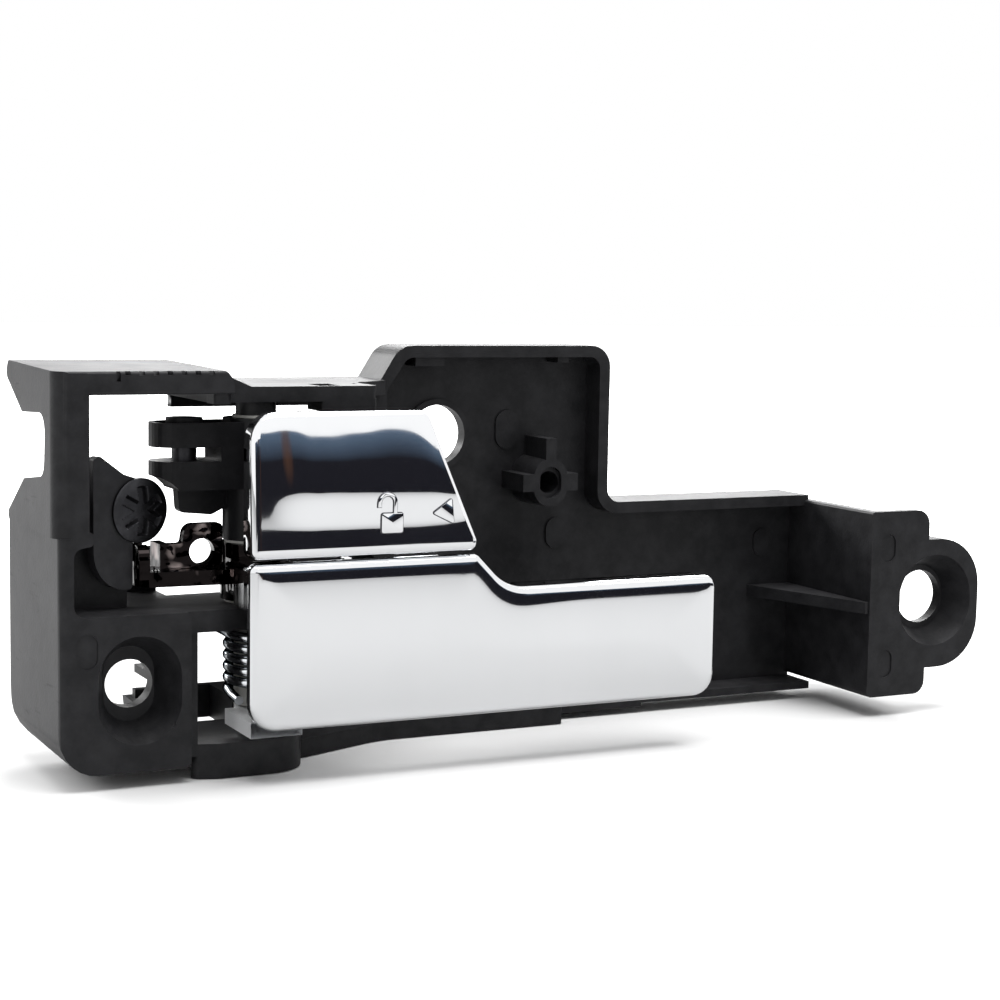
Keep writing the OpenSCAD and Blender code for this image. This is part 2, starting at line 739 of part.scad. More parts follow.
module lock_cap() {
    cap_out = [[lever_x0 + 0.2, cap_z0, 1.6], [cap_foot_x, cap_z0, 1.4],
               [cap_top_x, cap_z1, 2], [lever_x0 + 0.2, cap_z1, 5.5]];
    cap_in = [[lever_x0 + 2, cap_z0 + cap_wall, 1],
              [cap_foot_x - 2, cap_z0 + cap_wall, 1],
              [cap_top_x - cap_wall, cap_z1 - cap_wall, 1],
              [lever_x0 + 2, cap_z1 - cap_wall, 4]];
    color("#d5d7da") at_frame() difference() {
        front(lever_y, lever_y + cap_depth) outline(cap_out, 8);
        front(lever_y + cap_floor, lever_y + cap_depth + 1) outline(cap_in);
        front(lever_y - 1, lever_y + cap_hollow) outline([
            [lever_x0 + 4, cap_z0 + 3, 2], [cap_foot_x - 4, cap_z0 + 3, 2],
            [cap_top_x - 3, cap_z1 - 3, 2],
            [lever_x0 + 4, cap_z1 - 3, 4]]);
    }
}

module pivot_pin() {
    color("#8c8f93") at_frame() {
        post(pivot, 0.4, pin_top, pin_r);
        post(pivot, 0.4, 0.4 + pin_head_t, pin_head_r);
    }
}

module pin_clip() {
    color("#9a9da1") at_frame() difference() {
        post(pivot, shelf_z0 - 0.9, shelf_z0 - 0.1, 4.4);
        post(pivot, shelf_z0 - 2, shelf_z0 + 1, pin_r);
        box([pivot_x - 1.6, pivot_y, shelf_z0 - 2],
            [pivot_x + 1.6, pivot_y + 6, shelf_z0 + 1]);
    }
}

module bush(z0) {
    difference() {
        post(pivot, z0, z0 + bush_len, bush_r);
        post(pivot, z0 - 1, z0 + bush_len + 1, pin_r + fit);
    }
}

module lever_bush_lower() { color("#e8e6df") at_frame() bush(hub_z0); }
module lever_bush_upper() { color("#e8e6df") at_frame() bush(hub_z1 - bush_len); }
module lock_bush_lower() { color("#e8e6df") at_frame() bush(lock_z0); }
module lock_bush_upper() { color("#e8e6df") at_frame() bush(lock_z1 - bush_len); }

module washer(z0, r = 5.8) {
    difference() {
        post(pivot, z0 + 0.05, z0 + washer_t - 0.05, r);
        post(pivot, z0 - 1, z0 + 2, pin_r + fit);
    }
}

module thrust_washer_shelf() { color("#e3e1da") at_frame() washer(shelf_z); }
module thrust_washer_middle() { color("#e3e1da") at_frame() washer(hub_z1); }
module thrust_washer_top() { color("#e3e1da") at_frame() washer(lock_z1, 4.4); }

// A tube of wire swept along a list of points
function frame_at(p, i) =
    let (n = len(p), a = p[max(i - 1, 0)], b = p[min(i + 1, n - 1)],
         t = (b - a) / norm(b - a),
         h = abs(t[2]) > 0.9 ? [1, 0, 0] : [0, 0, 1],
         s = cross(t, h) / norm(cross(t, h)))
    [s, cross(s, t)];

module wire(p, r, sides = 8) {
    n = len(p);
    rings = [for (i = [0:n - 1]) let (f = frame_at(p, i))
        for (k = [0:sides - 1])
            p[i] + r * (cos(360 * k / sides) * f[0]
                        + sin(360 * k / sides) * f[1])];
    skin = [for (i = [0:n - 2], k = [0:sides - 1])
        let (a = i * sides + k, b = i * sides + (k + 1) % sides)
        [a, b, b + sides, a + sides]];
    polyhedron(rings, concat(skin,
        [[for (k = [0:sides - 1]) sides - 1 - k]],
        [[for (k = [0:sides - 1]) (n - 1) * sides + k]]), convexity = 10);
}

module return_spring() {
    z0 = coil_z0;
    pitch = wire_d + coil_gap;
    per_turn = 24;
    count = per_turn * coil_turns;
    coil = [for (i = [0:count]) let (a = 180 - 360 * i / per_turn)
        [pivot_x + coil_r * cos(a), pivot_y + coil_r * sin(a),
         z0 + pitch * i / per_turn]];
    top = coil[count];
    color("#b9bcc0") at_frame() wire(concat(
        [[pivot_x - coil_r, pivot_y - 6, z0 - 1],
         [pivot_x - coil_r, pivot_y - 2.5, z0 - 0.6]], coil,
        [[top[0], top[1] + 3, top[2] + 0.1], [top[0], top[1] + 8, top[2] + 0.1]]),
        wire_d / 2);
}

module spring_sleeve() {
    color("#dcdad2") at_frame() difference() {
        post(pivot, low_hub_z1 + 0.3, shelf_z0 - 1.2, coil_r - wire_d / 2 - 0.3);
        post(pivot, 0, 40, pin_r + fit);
    }
}

module retainer_plate() {
    color("#303134") at_frame() turned() difference() {
        front(plate_y0, plate_y1) outline([
            [6.8, 59.4, 0.4], [8.2, 60, 0.8], [13.4, 56.4, 2],
            [19.6, 54.5, 2], [19.6, 46, 1], [15.4, 44.6, 1],
            [15.4, 35.2, 0.8], [6.8, 35.2, 7.4]], 8);
        deep(screw_x, screw_z, 0, 20, screw_r + 0.2, screw_r + 0.2);
    }
}

module retainer_screw() {
    color("#3a3b3e") at_frame() turned() {
        // Centre pin of the recess
        deep(screw_x, screw_z, head_y + 0.3, head_y + slot_depth + 0.5, 1.2, 1.3);
        difference() {
            union() {
                deep(screw_x, screw_z, head_y, head_y + 0.7,
                     head_r - 0.6, head_r);
                deep(screw_x, screw_z, head_y + 0.7, plate_y0 - 0.05,
                     head_r, head_r);
                deep(screw_x, screw_z, plate_y0 - 0.05, plate_y1 + 7,
                     screw_r, screw_r);
            }
            for (a = [0:60:120])
                translate([screw_x, head_y, screw_z]) rotate([0, a, 0])
                    translate([-slot_len / 2, -1, -slot_w / 2])
                        cube([slot_len, 1 + slot_depth, slot_w]);
        }
    }
}

module screw_insert() {
    color("#b8963f") at_frame() turned() difference() {
        deep(screw_x, screw_z, plate_y1 + 0.2, plate_y1 + 6.8,
             insert_r, insert_r);
        deep(screw_x, screw_z, 0, 40, screw_r + 0.03, screw_r + 0.03);
    }
}

module lock_cable_pin() {
    color("#4a4c50") at_frame()
        post([arm_end_x + 1.8, pivot_y], arm_z0 + 1.3, lock_z1 - 0.1,
             cable_pin_r);
}

module detent_ball() {
    color("#c4c6c9") at_frame() translate([detent_x, detent_y,
        detent_z + ball_r - 0.4]) sphere(r = ball_r, $fn = 32);
}

module detent_spring() {
    z0 = detent_z + 2 * ball_r - 0.45;
    turns = 2;
    steps = 16;
    color("#b0b3b7") at_frame() wire([for (i = [0:turns * steps])
        [detent_x + detent_coil_r * cos(360 * i / steps),
         detent_y + detent_coil_r * sin(360 * i / steps),
         z0 + detent_pitch * i / steps]], detent_wire_r, 6);
}

module rest_pad() {
    color("#1d1d1f") at_frame() front(-6.1, -3) outline([
        [49.4, shelf_z0 + 0.2, 0.5], [52.6, shelf_z0 + 0.2, 0.5],
        [52.6, shelf_z - 1.2, 0.5], [49.4, shelf_z - 1.2, 0.5]]);
}

module open_pad() {
    color("#1d1d1f") at_frame() front(26, 27.5) outline([
        [20.4, 34, 0.6], [25.6, 34, 0.6], [25.6, 39.6, 0.6],
        [20.4, 39.6, 0.6]]);
}

base_frame();
release_lever();
lock_carrier();
lock_cap();
pivot_pin();
pin_clip();
lever_bush_lower();
lever_bush_upper();
lock_bush_lower();
lock_bush_upper();
thrust_washer_shelf();
thrust_washer_middle();
thrust_washer_top();
return_spring();
spring_sleeve();
retainer_plate();
retainer_screw();
screw_insert();
lock_cable_pin();
detent_ball();
detent_spring();
rest_pad();
open_pad();
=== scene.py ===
"""Looks of a car interior door handle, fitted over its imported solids."""
import math

import bmesh
import bpy
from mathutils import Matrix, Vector
from bpy.props import (FloatProperty, FloatVectorProperty, IntProperty,
                       PointerProperty)


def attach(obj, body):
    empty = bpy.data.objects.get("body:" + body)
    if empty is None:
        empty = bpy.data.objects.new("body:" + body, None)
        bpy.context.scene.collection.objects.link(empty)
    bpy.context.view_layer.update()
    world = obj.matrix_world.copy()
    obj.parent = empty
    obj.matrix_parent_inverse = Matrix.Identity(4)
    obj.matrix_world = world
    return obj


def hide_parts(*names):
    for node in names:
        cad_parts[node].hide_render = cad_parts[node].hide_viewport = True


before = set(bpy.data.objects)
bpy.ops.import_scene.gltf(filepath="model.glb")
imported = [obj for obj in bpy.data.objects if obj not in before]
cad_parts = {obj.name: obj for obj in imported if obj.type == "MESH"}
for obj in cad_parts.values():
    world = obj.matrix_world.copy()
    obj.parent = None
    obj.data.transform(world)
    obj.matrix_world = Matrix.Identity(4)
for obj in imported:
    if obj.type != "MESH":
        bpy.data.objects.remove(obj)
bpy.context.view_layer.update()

bl_info = {
    "name": "Car door handle",
    "version": (1, 0, 0),
    "blender": (4, 5, 0),
    "location": "3D View > Sidebar > Handle",
    "description": "Dresses the solids of a car interior door handle",
    "category": "Object",
}

MM = 0.001
# Plan position of the frame's origin in the housing's own measure
ORIGIN_X = 101.9
ORIGIN_Y = 14.35
# Thickness of the lever's face, of the cap and of the cap's floor
LEVER_THICK = 2.4
CAP_THICK = 5
CAP_FLOOR = 2.2
# Thickness of the cap's side walls at their rim and at the floor
CAP_RIM = 1.5
CAP_WALL = 1.6
# Right and left end of the slope between the lever's head and its grip
SLOPE_FOOT = 84.6
SLOPE_TOP = 78.2
# Tilt of the cap's face in degrees, against the share of its height from
# the top down. The hollow bends the reflection of the dark screen.
CAP_KNOTS = ((0, 14), (0.03, 8), (0.055, 5.9), (0.3, 4.6), (0.5, 2.6),
             (0.58, 0.6), (0.63, -3.2), (0.72, -4.4), (0.77, -1.2),
             (0.8, 2.2), (0.93, 3.6), (0.95, 0.8), (0.965, -3), (1, -8))
# The cap's left side has no tilt below this, down to this share
CAP_LEFT_TILT = 1.6
CAP_LEFT_END = 0.94
# Signs on the cap: place along and up, and size
PADLOCK = (60, 49.4, 7.6)
TRIANGLE = (70.6, 49.4, 5.4)
# Upright pin: its place in plan
PIVOT_X = 40
PIVOT_Y = 10
# Return spring: its foot, the gap between turns and points in a turn
SPRING_FOOT = 14.6
SPRING_GAP = 0.36
SPRING_STEPS = 32
# Retainer screw: where its plate's face is and how it is turned
SCREW_AT = (16.8, 7.95, 49.6)
SCREW_TURN = 20.0
SHANK_RADIUS = 2.0
SHANK_LENGTH = 8.5
# Camera: where it stands and how it looks
CAMERA_AT = (-93.1, -360.3, 93.8)
CAMERA_AZIMUTH = 26.5
CAMERA_TILT = 6.2
CAMERA_ROLL = 1.0
CAMERA_PIXELS = 2085.0
IMAGE_WIDTH = 1000.0
SENSOR = 36.0


def place(x, y, z):
    """A point given in millimetres from the housing's left front foot."""
    return ((x - ORIGIN_X) * MM, (y - ORIGIN_Y) * MM, z * MM)


class HandleSizes(bpy.types.PropertyGroup):
    """Sizes of the levers, the screw and the spring, in mm."""
    lever_left: FloatProperty(
        name="Lever left", description="Left side of the pull lever",
        default=32.6, min=30, max=36)
    lever_right: FloatProperty(
        name="Lever right", description="Right end of the pull lever",
        default=131.6, min=115, max=145)
    lever_foot: FloatProperty(
        name="Lever foot", description="Underside of the pull lever",
        default=9.8, min=8, max=12)
    grip_top: FloatProperty(
        name="Grip top", description="Top of the pull lever's grip",
        default=34.2, min=30, max=38)
    lever_head: FloatProperty(
        name="Lever head", description="Top of the pull lever at the pivot",
        default=40.9, min=39, max=42)
    lever_front: FloatProperty(
        name="Lever front", description="Depth of the plated faces",
        default=-8.8, min=-11, max=-7)
    crown: FloatProperty(
        name="Face rise", description="Rise of the pull lever's face",
        default=0.34, min=0, max=1.5)
    edge_radius: FloatProperty(
        name="Edge radius", description="Rounding of the lever's edges",
        default=1.5, min=0.5, max=2.2)
    shoulder_width: FloatProperty(
        name="Shoulder width", description="Width of the lever's shoulder",
        default=1.6, min=1, max=6)
    shoulder_slope: FloatProperty(
        name="Shoulder slope", description="Slope of the lever's shoulder",
        default=0.1, min=0, max=0.3)
    cap_foot: FloatProperty(
        name="Cap foot", description="Underside of the lock cap",
        default=41.6, min=41, max=44)
    cap_top: FloatProperty(
        name="Cap top", description="Top of the lock cap",
        default=68.2, min=65, max=70)
    cap_foot_right: FloatProperty(
        name="Cap right at foot", description="Right side of the cap's foot",
        default=78.8, min=72, max=82)
    cap_top_right: FloatProperty(
        name="Cap right at top", description="Right side of the cap's top",
        default=67.7, min=62, max=72)
    cap_edge: FloatProperty(
        name="Cap edge", description="Rounding of the cap's edges",
        default=1.1, min=0.5, max=1.5)
    cap_dish: FloatProperty(
        name="Cap dish", description="Strength of the hollow in the cap",
        default=1.0, min=0, max=1.2)
    cap_shoulder_left: FloatProperty(
        name="Cap left fall", description="Fall of the cap's left side",
        default=0.06, min=0, max=0.6)
    cap_shoulder: FloatProperty(
        name="Cap shoulder", description="Fall of the cap's face at its sides",
        default=0.3, min=0, max=1)
    sign_height: FloatProperty(
        name="Sign height", description="Rise of the signs on the cap",
        default=0.3, min=0.1, max=0.5)
    head_radius: FloatProperty(
        name="Screw head radius", description="Radius of the screw's head",
        default=6.0, min=5, max=6.4)
    head_edge: FloatProperty(
        name="Screw head edge", description="Thickness of the head's edge",
        default=0.6, min=0.3, max=1.2)
    head_dome: FloatProperty(
        name="Screw head dome", description="Height of the domed head",
        default=1.0, min=0.4, max=1.6)
    recess_depth: FloatProperty(
        name="Recess depth", description="Depth of the head's recess",
        default=1.1, min=0.5, max=1.4)
    recess_width: FloatProperty(
        name="Recess half width", description="Half the width of an arm",
        default=1.05, min=0.4, max=1.4)
    recess_reach: FloatProperty(
        name="Recess reach", description="Length of the recess's arms",
        default=3.7, min=2, max=4.4)
    wire: FloatProperty(
        name="Wire", description="Thickness of the return spring's wire",
        default=1.8, min=1, max=2)
    coil_radius: FloatProperty(
        name="Coil radius", description="Mean radius of the return spring",
        default=5.2, min=4.8, max=5.4)
    turns: IntProperty(
        name="Turns", description="Turns of the return spring",
        default=5, min=3, max=6)
    housing_edge: FloatProperty(
        name="Housing edge", description="Softening of the housing's edges",
        default=0.28, min=0, max=0.5)


class HandleColours(bpy.types.PropertyGroup):
    """Colours of the finishes."""
    housing: FloatVectorProperty(
        name="Housing", description="Black of the moulded housing",
        subtype="COLOR", size=3, default=(0.013, 0.013, 0.0145))
    plating: FloatVectorProperty(
        name="Plating", description="Colour of the bright plating",
        subtype="COLOR", size=3, default=(0.9, 0.91, 0.925))
    floor: FloatVectorProperty(
        name="Floor", description="Colour of the floor",
        subtype="COLOR", size=3, default=(0.9, 0.9, 0.9))


def socket(group, name, kind, out, value=None):
    """Adds one socket to a node group."""
    item = group.interface.new_socket(
        name, in_out="OUTPUT" if out else "INPUT",
        socket_type="NodeSocket" + kind)
    if value is not None:
        item.default_value = value
    return item


def new_group(name, inputs, outputs):
    """An empty node group with its input and output nodes."""
    group = bpy.data.node_groups.new(name, "ShaderNodeTree")
    for label, kind, value in inputs:
        socket(group, label, kind, False, value)
    for label, kind in outputs:
        socket(group, label, kind, True)
    start = group.nodes.new("NodeGroupInput")
    end = group.nodes.new("NodeGroupOutput")
    return group, start, end


def noise(tree, scale, detail, coords, stretch=(1, 1, 1), rough=0.55):
    """A noise texture over stretched object coordinates."""
    mapping = tree.nodes.new("ShaderNodeMapping")
    mapping.inputs["Scale"].default_value = stretch
    tree.links.new(coords, mapping.inputs["Vector"])
    texture = tree.nodes.new("ShaderNodeTexNoise")
    texture.inputs["Scale"].default_value = scale
    texture.inputs["Detail"].default_value = detail
    texture.inputs["Roughness"].default_value = rough
    tree.links.new(mapping.outputs[0], texture.inputs["Vector"])
    return texture.outputs["Fac"]


def ramp(tree, value, low, high):
    """Maps a value between two ends to 0 and 1."""
    node = tree.nodes.new("ShaderNodeMapRange")
    node.inputs["From Min"].default_value = low
    node.inputs["From Max"].default_value = high
    tree.links.new(value, node.inputs["Value"])
    return node.outputs[0]


def math_node(tree, kind, a, b):
    """One arithmetic step on two values or sockets."""
    node = tree.nodes.new("ShaderNodeMath")
    node.operation = kind
    for slot_index, item in enumerate((a, b)):
        if isinstance(item, (int, float)):
            node.inputs[slot_index].default_value = item
        else:
            tree.links.new(item, node.inputs[slot_index])
    return node.outputs[0]


def mix_colour(tree, factor, a, b):
    """Blends two colours or sockets."""
    node = tree.nodes.new("ShaderNodeMix")
    node.data_type = "RGBA"
    tree.links.new(factor, node.inputs[0])
    for name, item in (("A", a), ("B", b)):
        target = [s for s in node.inputs
                  if s.name == name and s.type == "RGBA"][0]
        if isinstance(item, (tuple, list)):
            target.default_value = (*item[:3], 1)
        else:
            tree.links.new(item, target)
    return [s for s in node.outputs if s.type == "RGBA"][0]


def edge_wear_group():
    """Mask of rubbed edges, broken up by noise."""
    group, start, end = new_group(
        "Edge wear", [("Amount", "Float", 1.0)], [("Mask", "Float")])
    geometry = group.nodes.new("ShaderNodeNewGeometry")
    coords = group.nodes.new("ShaderNodeTexCoord").outputs["Object"]
    edge = ramp(group, geometry.outputs["Pointiness"], 0.52, 0.62)
    broken = ramp(group, noise(group, 260, 4, coords), 0.35, 0.7)
    mask = math_node(group, "MULTIPLY", edge, broken)
    mask = math_node(group, "MULTIPLY", mask, start.outputs["Amount"])
    group.links.new(mask, end.inputs["Mask"])
    return group


def grain_group():
    """Fine moulded grain with slow cloudy variation and faint scratches."""
    group, start, end = new_group(
        "Moulded grain",
        [("Grain size", "Float", 1400.0), ("Cloud size", "Float", 22.0)],
        [("Height", "Float"), ("Cloud", "Float"), ("Scratch", "Float")])
    coords = group.nodes.new("ShaderNodeTexCoord").outputs["Object"]
    fine = group.nodes.new("ShaderNodeTexNoise")
    fine.inputs["Detail"].default_value = 3
    group.links.new(coords, fine.inputs["Vector"])
    group.links.new(start.outputs["Grain size"], fine.inputs["Scale"])
    cloud = group.nodes.new("ShaderNodeTexNoise")
    cloud.inputs["Detail"].default_value = 4
    group.links.new(coords, cloud.inputs["Vector"])
    group.links.new(start.outputs["Cloud size"], cloud.inputs["Scale"])
    lines = noise(group, 90, 3, coords, stretch=(0.25, 1, 9), rough=0.65)
    group.links.new(fine.outputs["Fac"], end.inputs["Height"])
    group.links.new(ramp(group, cloud.outputs["Fac"], 0.3, 0.7),
                    end.inputs["Cloud"])
    group.links.new(ramp(group, lines, 0.62, 0.74), end.inputs["Scratch"])
    return group


def dust_group():
    """Dust that settles on faces that look up."""
    group, start, end = new_group(
        "Dust", [("Amount", "Float", 0.2)],
        [("Mask", "Float"), ("Matt", "Float")])
    geometry = group.nodes.new("ShaderNodeNewGeometry")
    split = group.nodes.new("ShaderNodeSeparateXYZ")
    group.links.new(geometry.outputs["Normal"], split.inputs[0])
    coords = group.nodes.new("ShaderNodeTexCoord").outputs["Object"]
    up = ramp(group, split.outputs["Z"], 0.2, 0.95)
    spots = ramp(group, noise(group, 420, 5, coords), 0.42, 0.75)
    mask = math_node(group, "MULTIPLY", up, spots)
    mask = math_node(group, "MULTIPLY", mask, start.outputs["Amount"])
    group.links.new(mask, end.inputs["Mask"])
    broad = ramp(group, noise(group, 60, 3, coords), -0.4, 0.7)
    group.links.new(math_node(group, "MULTIPLY", up, broad),
                    end.inputs["Matt"])
    return group


SHARED = {}


def shared(name):
    """Builds each shared effect once."""
    makers = {"wear": edge_wear_group, "grain": grain_group,
              "dust": dust_group}
    if name not in SHARED:
        SHARED[name] = makers[name]()
    return SHARED[name]


def use_group(tree, name, **values):
    """Places a shared effect in a material with its own values."""
    node = tree.nodes.new("ShaderNodeGroup")
    node.node_tree = shared(name)
    for label, value in values.items():
        node.inputs[label.replace("_", " ")].default_value = value
    return node


def start_material(name):
    """A material with an empty Principled shader."""
    material = bpy.data.materials.new(name)
    material.use_nodes = True
    tree = material.node_tree
    return material, tree, tree.nodes["Principled BSDF"]


def set_bump(tree, shader, height, strength, distance):
    """Feeds a height into the shader's normal."""
    bump = tree.nodes.new("ShaderNodeBump")
    bump.inputs["Strength"].default_value = strength
    bump.inputs["Distance"].default_value = distance
    tree.links.new(height, bump.inputs["Height"])
    tree.links.new(bump.outputs[0], shader.inputs["Normal"])


def black_plastic(name, colour, rough, grain, shine=0.24, dust=0.07,
                  wear=0.5):
    """Black moulded plastic with grain, grey cloudiness and rubbed edges."""
    material, tree, shader = start_material(name)
    effect = use_group(tree, "grain", Grain_size=1500.0, Cloud_size=26.0)
    edge = use_group(tree, "wear", Amount=wear)
    top = use_group(tree, "dust", Amount=dust)
    lighter = [min(1, c * 2.2 + 0.012) for c in colour]
    base = mix_colour(tree, effect.outputs["Cloud"], colour,
                      [c * 1.2 for c in colour])
    base = mix_colour(tree, edge.outputs["Mask"], base, lighter)
    base = mix_colour(tree, top.outputs["Mask"], base, (0.23, 0.225, 0.22))
    tree.links.new(base, shader.inputs["Base Color"])
    value = math_node(tree, "MULTIPLY", effect.outputs["Cloud"], 0.06)
    value = math_node(tree, "ADD", value, rough)
    matt = math_node(tree, "MULTIPLY", top.outputs["Matt"], 0.17)
    value = math_node(tree, "ADD", value, matt)
    worn = math_node(tree, "MULTIPLY", effect.outputs["Scratch"], 0.08)
    value = math_node(tree, "ADD", value, worn)
    tree.links.new(value, shader.inputs["Roughness"])
    shader.inputs["Specular IOR Level"].default_value = shine
    set_bump(tree, shader, effect.outputs["Height"], grain, 0.0001)
    return material


def plated(name, colour, rough=0.035):
    """Bright plating with faint ripple and wiping marks."""
    material, tree, shader = start_material(name)
    coords = tree.nodes.new("ShaderNodeTexCoord").outputs["Object"]
    smear = ramp(tree, noise(tree, 55, 5, coords, stretch=(1, 1, 0.4)),
                 0.4, 0.8)
    tint = mix_colour(tree, smear, colour, [c * 0.965 for c in colour])
    tree.links.new(tint, shader.inputs["Base Color"])
    value = math_node(tree, "MULTIPLY", smear, 0.03)
    value = math_node(tree, "ADD", value, rough)
    tree.links.new(value, shader.inputs["Roughness"])
    shader.inputs["Metallic"].default_value = 1
    set_bump(tree, shader, noise(tree, 34, 2, coords), 0.06, 0.0004)
    return material


def plating_with_painted_shade(name, depth, fade):
    """Plating with painted shade and painted glints on the arms inside the
    housing, and a painted reflection of the floor on their low faces.
    """
    material = plated(name, list(bpy.context.scene.handle_colours.plating))
    tree = material.node_tree
    shader = tree.nodes["Principled BSDF"]
    bright = shader.inputs["Base Color"].links[0].from_socket
    coords = tree.nodes.new("ShaderNodeTexCoord").outputs["Object"]
    split = tree.nodes.new("ShaderNodeSeparateXYZ")
    tree.links.new(coords, split.inputs[0])
    # Mask of the arm faces set back inside the housing, above the lever's
    # foot, that get painted shade
    inside = ramp(tree, split.outputs["Y"], depth, depth + fade)
    above = ramp(tree, split.outputs["Z"], 0.0125, 0.016)
    inside = math_node(tree, "MULTIPLY", inside, above)
    # Painted shade: near-black base colour, broken by painted glints of
    # reflection
    painted_glint_mask = ramp(tree, noise(tree, 170, 2, coords), 0.6, 0.7)
    painted_shade_colour = mix_colour(tree, painted_glint_mask, (0.012, 0.01, 0.01), (0.3, 0.25, 0.24))
    tint = mix_colour(tree, inside, bright, painted_shade_colour)
    tree.links.new(tint, shader.inputs["Base Color"])
    smooth = shader.inputs["Roughness"].links[0].from_socket
    # Painted reflection: low faces behind the lever turn less metallic and
    # rougher, so their bright colour reads as the reflected floor
    low = ramp(tree, split.outputs["Z"], 0.0135, 0.012)
    behind = ramp(tree, split.outputs["Y"], depth - 0.003, depth - 0.002)
    low = math_node(tree, "MULTIPLY", low, behind)
    value = math_node(tree, "MULTIPLY", low, 0.3)
    value = math_node(tree, "ADD", smooth, value)
    tree.links.new(value, shader.inputs["Roughness"])
    metal = math_node(tree, "MULTIPLY", low, -0.85)
    metal = math_node(tree, "ADD", metal, 1.0)
    tree.links.new(metal, shader.inputs["Metallic"])
    bump = shader.inputs["Normal"].links[0].from_node
    even = bump.inputs["Height"].links[0].from_socket
    uneven = noise(tree, 150, 2, coords)
    uneven = math_node(tree, "MULTIPLY", uneven, inside)
    uneven = math_node(tree, "MULTIPLY", uneven, 60.0)
    height = math_node(tree, "ADD", even, uneven)
    tree.links.new(height, bump.inputs["Height"])
    return material


def bare_metal(name, colour, rough, stretch=(1, 1, 1), scale=700):
    """Drawn or turned metal with fine lines."""
    material, tree, shader = start_material(name)
    coords = tree.nodes.new("ShaderNodeTexCoord").outputs["Object"]
    lines = noise(tree, scale, 4, coords, stretch=stretch)
    spread = ramp(tree, lines, 0.3, 0.7)
    tint = mix_colour(tree, spread, colour, [c * 0.72 for c in colour])
    tree.links.new(tint, shader.inputs["Base Color"])
    value = math_node(tree, "MULTIPLY", spread, 0.16)
    value = math_node(tree, "ADD", value, rough)
    tree.links.new(value, shader.inputs["Roughness"])
    shader.inputs["Metallic"].default_value = 1
    set_bump(tree, shader, lines, 0.2, 0.00005)
    return material


def round_wire(name, colour, rough):
    """Zinc-plated wire, with painted shade that darkens it towards its sides
    as seen.
    """
    material = plated(name, colour, rough)
    tree = material.node_tree
    shader = tree.nodes["Principled BSDF"]
    bright = shader.inputs["Base Color"].links[0].from_socket
    # Painted shade: the base colour turns dark where the wire turns away from
    # the view
    weight = tree.nodes.new("ShaderNodeLayerWeight")
    weight.inputs["Blend"].default_value = 0.5
    side = ramp(tree, weight.outputs["Facing"], 0.35, 0.75)
    tint = mix_colour(tree, side, bright, (0.03, 0.035, 0.04))
    tree.links.new(tint, shader.inputs["Base Color"])
    shader.inputs["Specular Tint"].default_value = (0.12, 0.13, 0.14, 1)
    return material


def soft_plastic(name, colour, rough):
    """Pale bearing plastic or rubber with a cloudy surface."""
    material, tree, shader = start_material(name)
    effect = use_group(tree, "grain", Grain_size=1800.0, Cloud_size=120.0)
    base = mix_colour(tree, effect.outputs["Cloud"], colour,
                      [c * 0.86 for c in colour])
    tree.links.new(base, shader.inputs["Base Color"])
    value = math_node(tree, "MULTIPLY", effect.outputs["Cloud"], 0.12)
    value = math_node(tree, "ADD", value, rough)
    tree.links.new(value, shader.inputs["Roughness"])
    set_bump(tree, shader, effect.outputs["Height"], 0.3, 0.00004)
    return material


FINISH_NAMES = {
    "black_housing": "Housing black", "black_lock": "Lock arm black",
    "black_retainer": "Retainer black", "chrome_lever": "Lever plating",
    "chrome_cap": "Cap plating", "pin_steel": "Pin steel",
    "zinc_wire": "Spring wire", "relief": "Relief shade",
    "spring_steel": "Clip steel", "insert_brass": "Insert brass",
    "black_screw": "Screw black", "acetal": "Acetal",
    "black_rubber": "Stop rubber",
}


def finishes():
    """All finishes of the handle, made once."""
    colours = bpy.context.scene.handle_colours
    made = bpy.data.materials
    if "Housing black" in made:
        return {key: made[value] for key, value in FINISH_NAMES.items()}
    black_plastic("Housing black", list(colours.housing), 0.38, 0.35)
    black_plastic("Lock arm black", [0.01, 0.01, 0.011], 0.27, 0.25, 0.15)
    black_plastic("Retainer black", [0.018, 0.018, 0.02], 0.36, 0.3)
    # Lever plating with painted shade, painted glints and a painted floor
    # reflection on the arms inside
    plating_with_painted_shade("Lever plating", place(0, -4.5, 0)[1], 0.003)
    plated("Cap plating", [min(1, c * 1.06) for c in colours.plating],
           0.028)
    # Painted shade for the side walls of the cap's raised signs
    bare_metal("Relief shade", (0.07, 0.07, 0.08), 0.2)
    bare_metal("Pin steel", (0.42, 0.43, 0.44), 0.25, (6, 6, 1))
    round_wire("Spring wire", (0.9, 0.93, 0.96), 0.14)
    bare_metal("Clip steel", (0.5, 0.5, 0.52), 0.3)
    bare_metal("Insert brass", (0.72, 0.55, 0.27), 0.28)
    bare_metal("Screw black", (0.055, 0.055, 0.06), 0.3)
    soft_plastic("Acetal", (0.78, 0.77, 0.73), 0.42)
    soft_plastic("Stop rubber", (0.02, 0.02, 0.02), 0.7)
    return {key: made[value] for key, value in FINISH_NAMES.items()}


def corner_points(before, here, after, radius, steps):
    """Points of one rounded corner of an outline."""
    here = Vector(here)
    u = (Vector(before) - here).normalized()
    v = (Vector(after) - here).normalized()
    half = u.angle(v) / 2
    centre = here + (u + v).normalized() * (radius / math.sin(half))
    start = here + u * (radius / math.tan(half)) - centre
    end = here + v * (radius / math.tan(half)) - centre
    turn = 1 if start.x * end.y - start.y * end.x > 0 else -1
    sweep = math.pi - 2 * half
    first = math.atan2(start.y, start.x)
    points = []
    for index in range(steps + 1):
        angle = first + turn * sweep * index / steps
        points.append(centre + radius * Vector((math.cos(angle),
                                                math.sin(angle))))
    return points


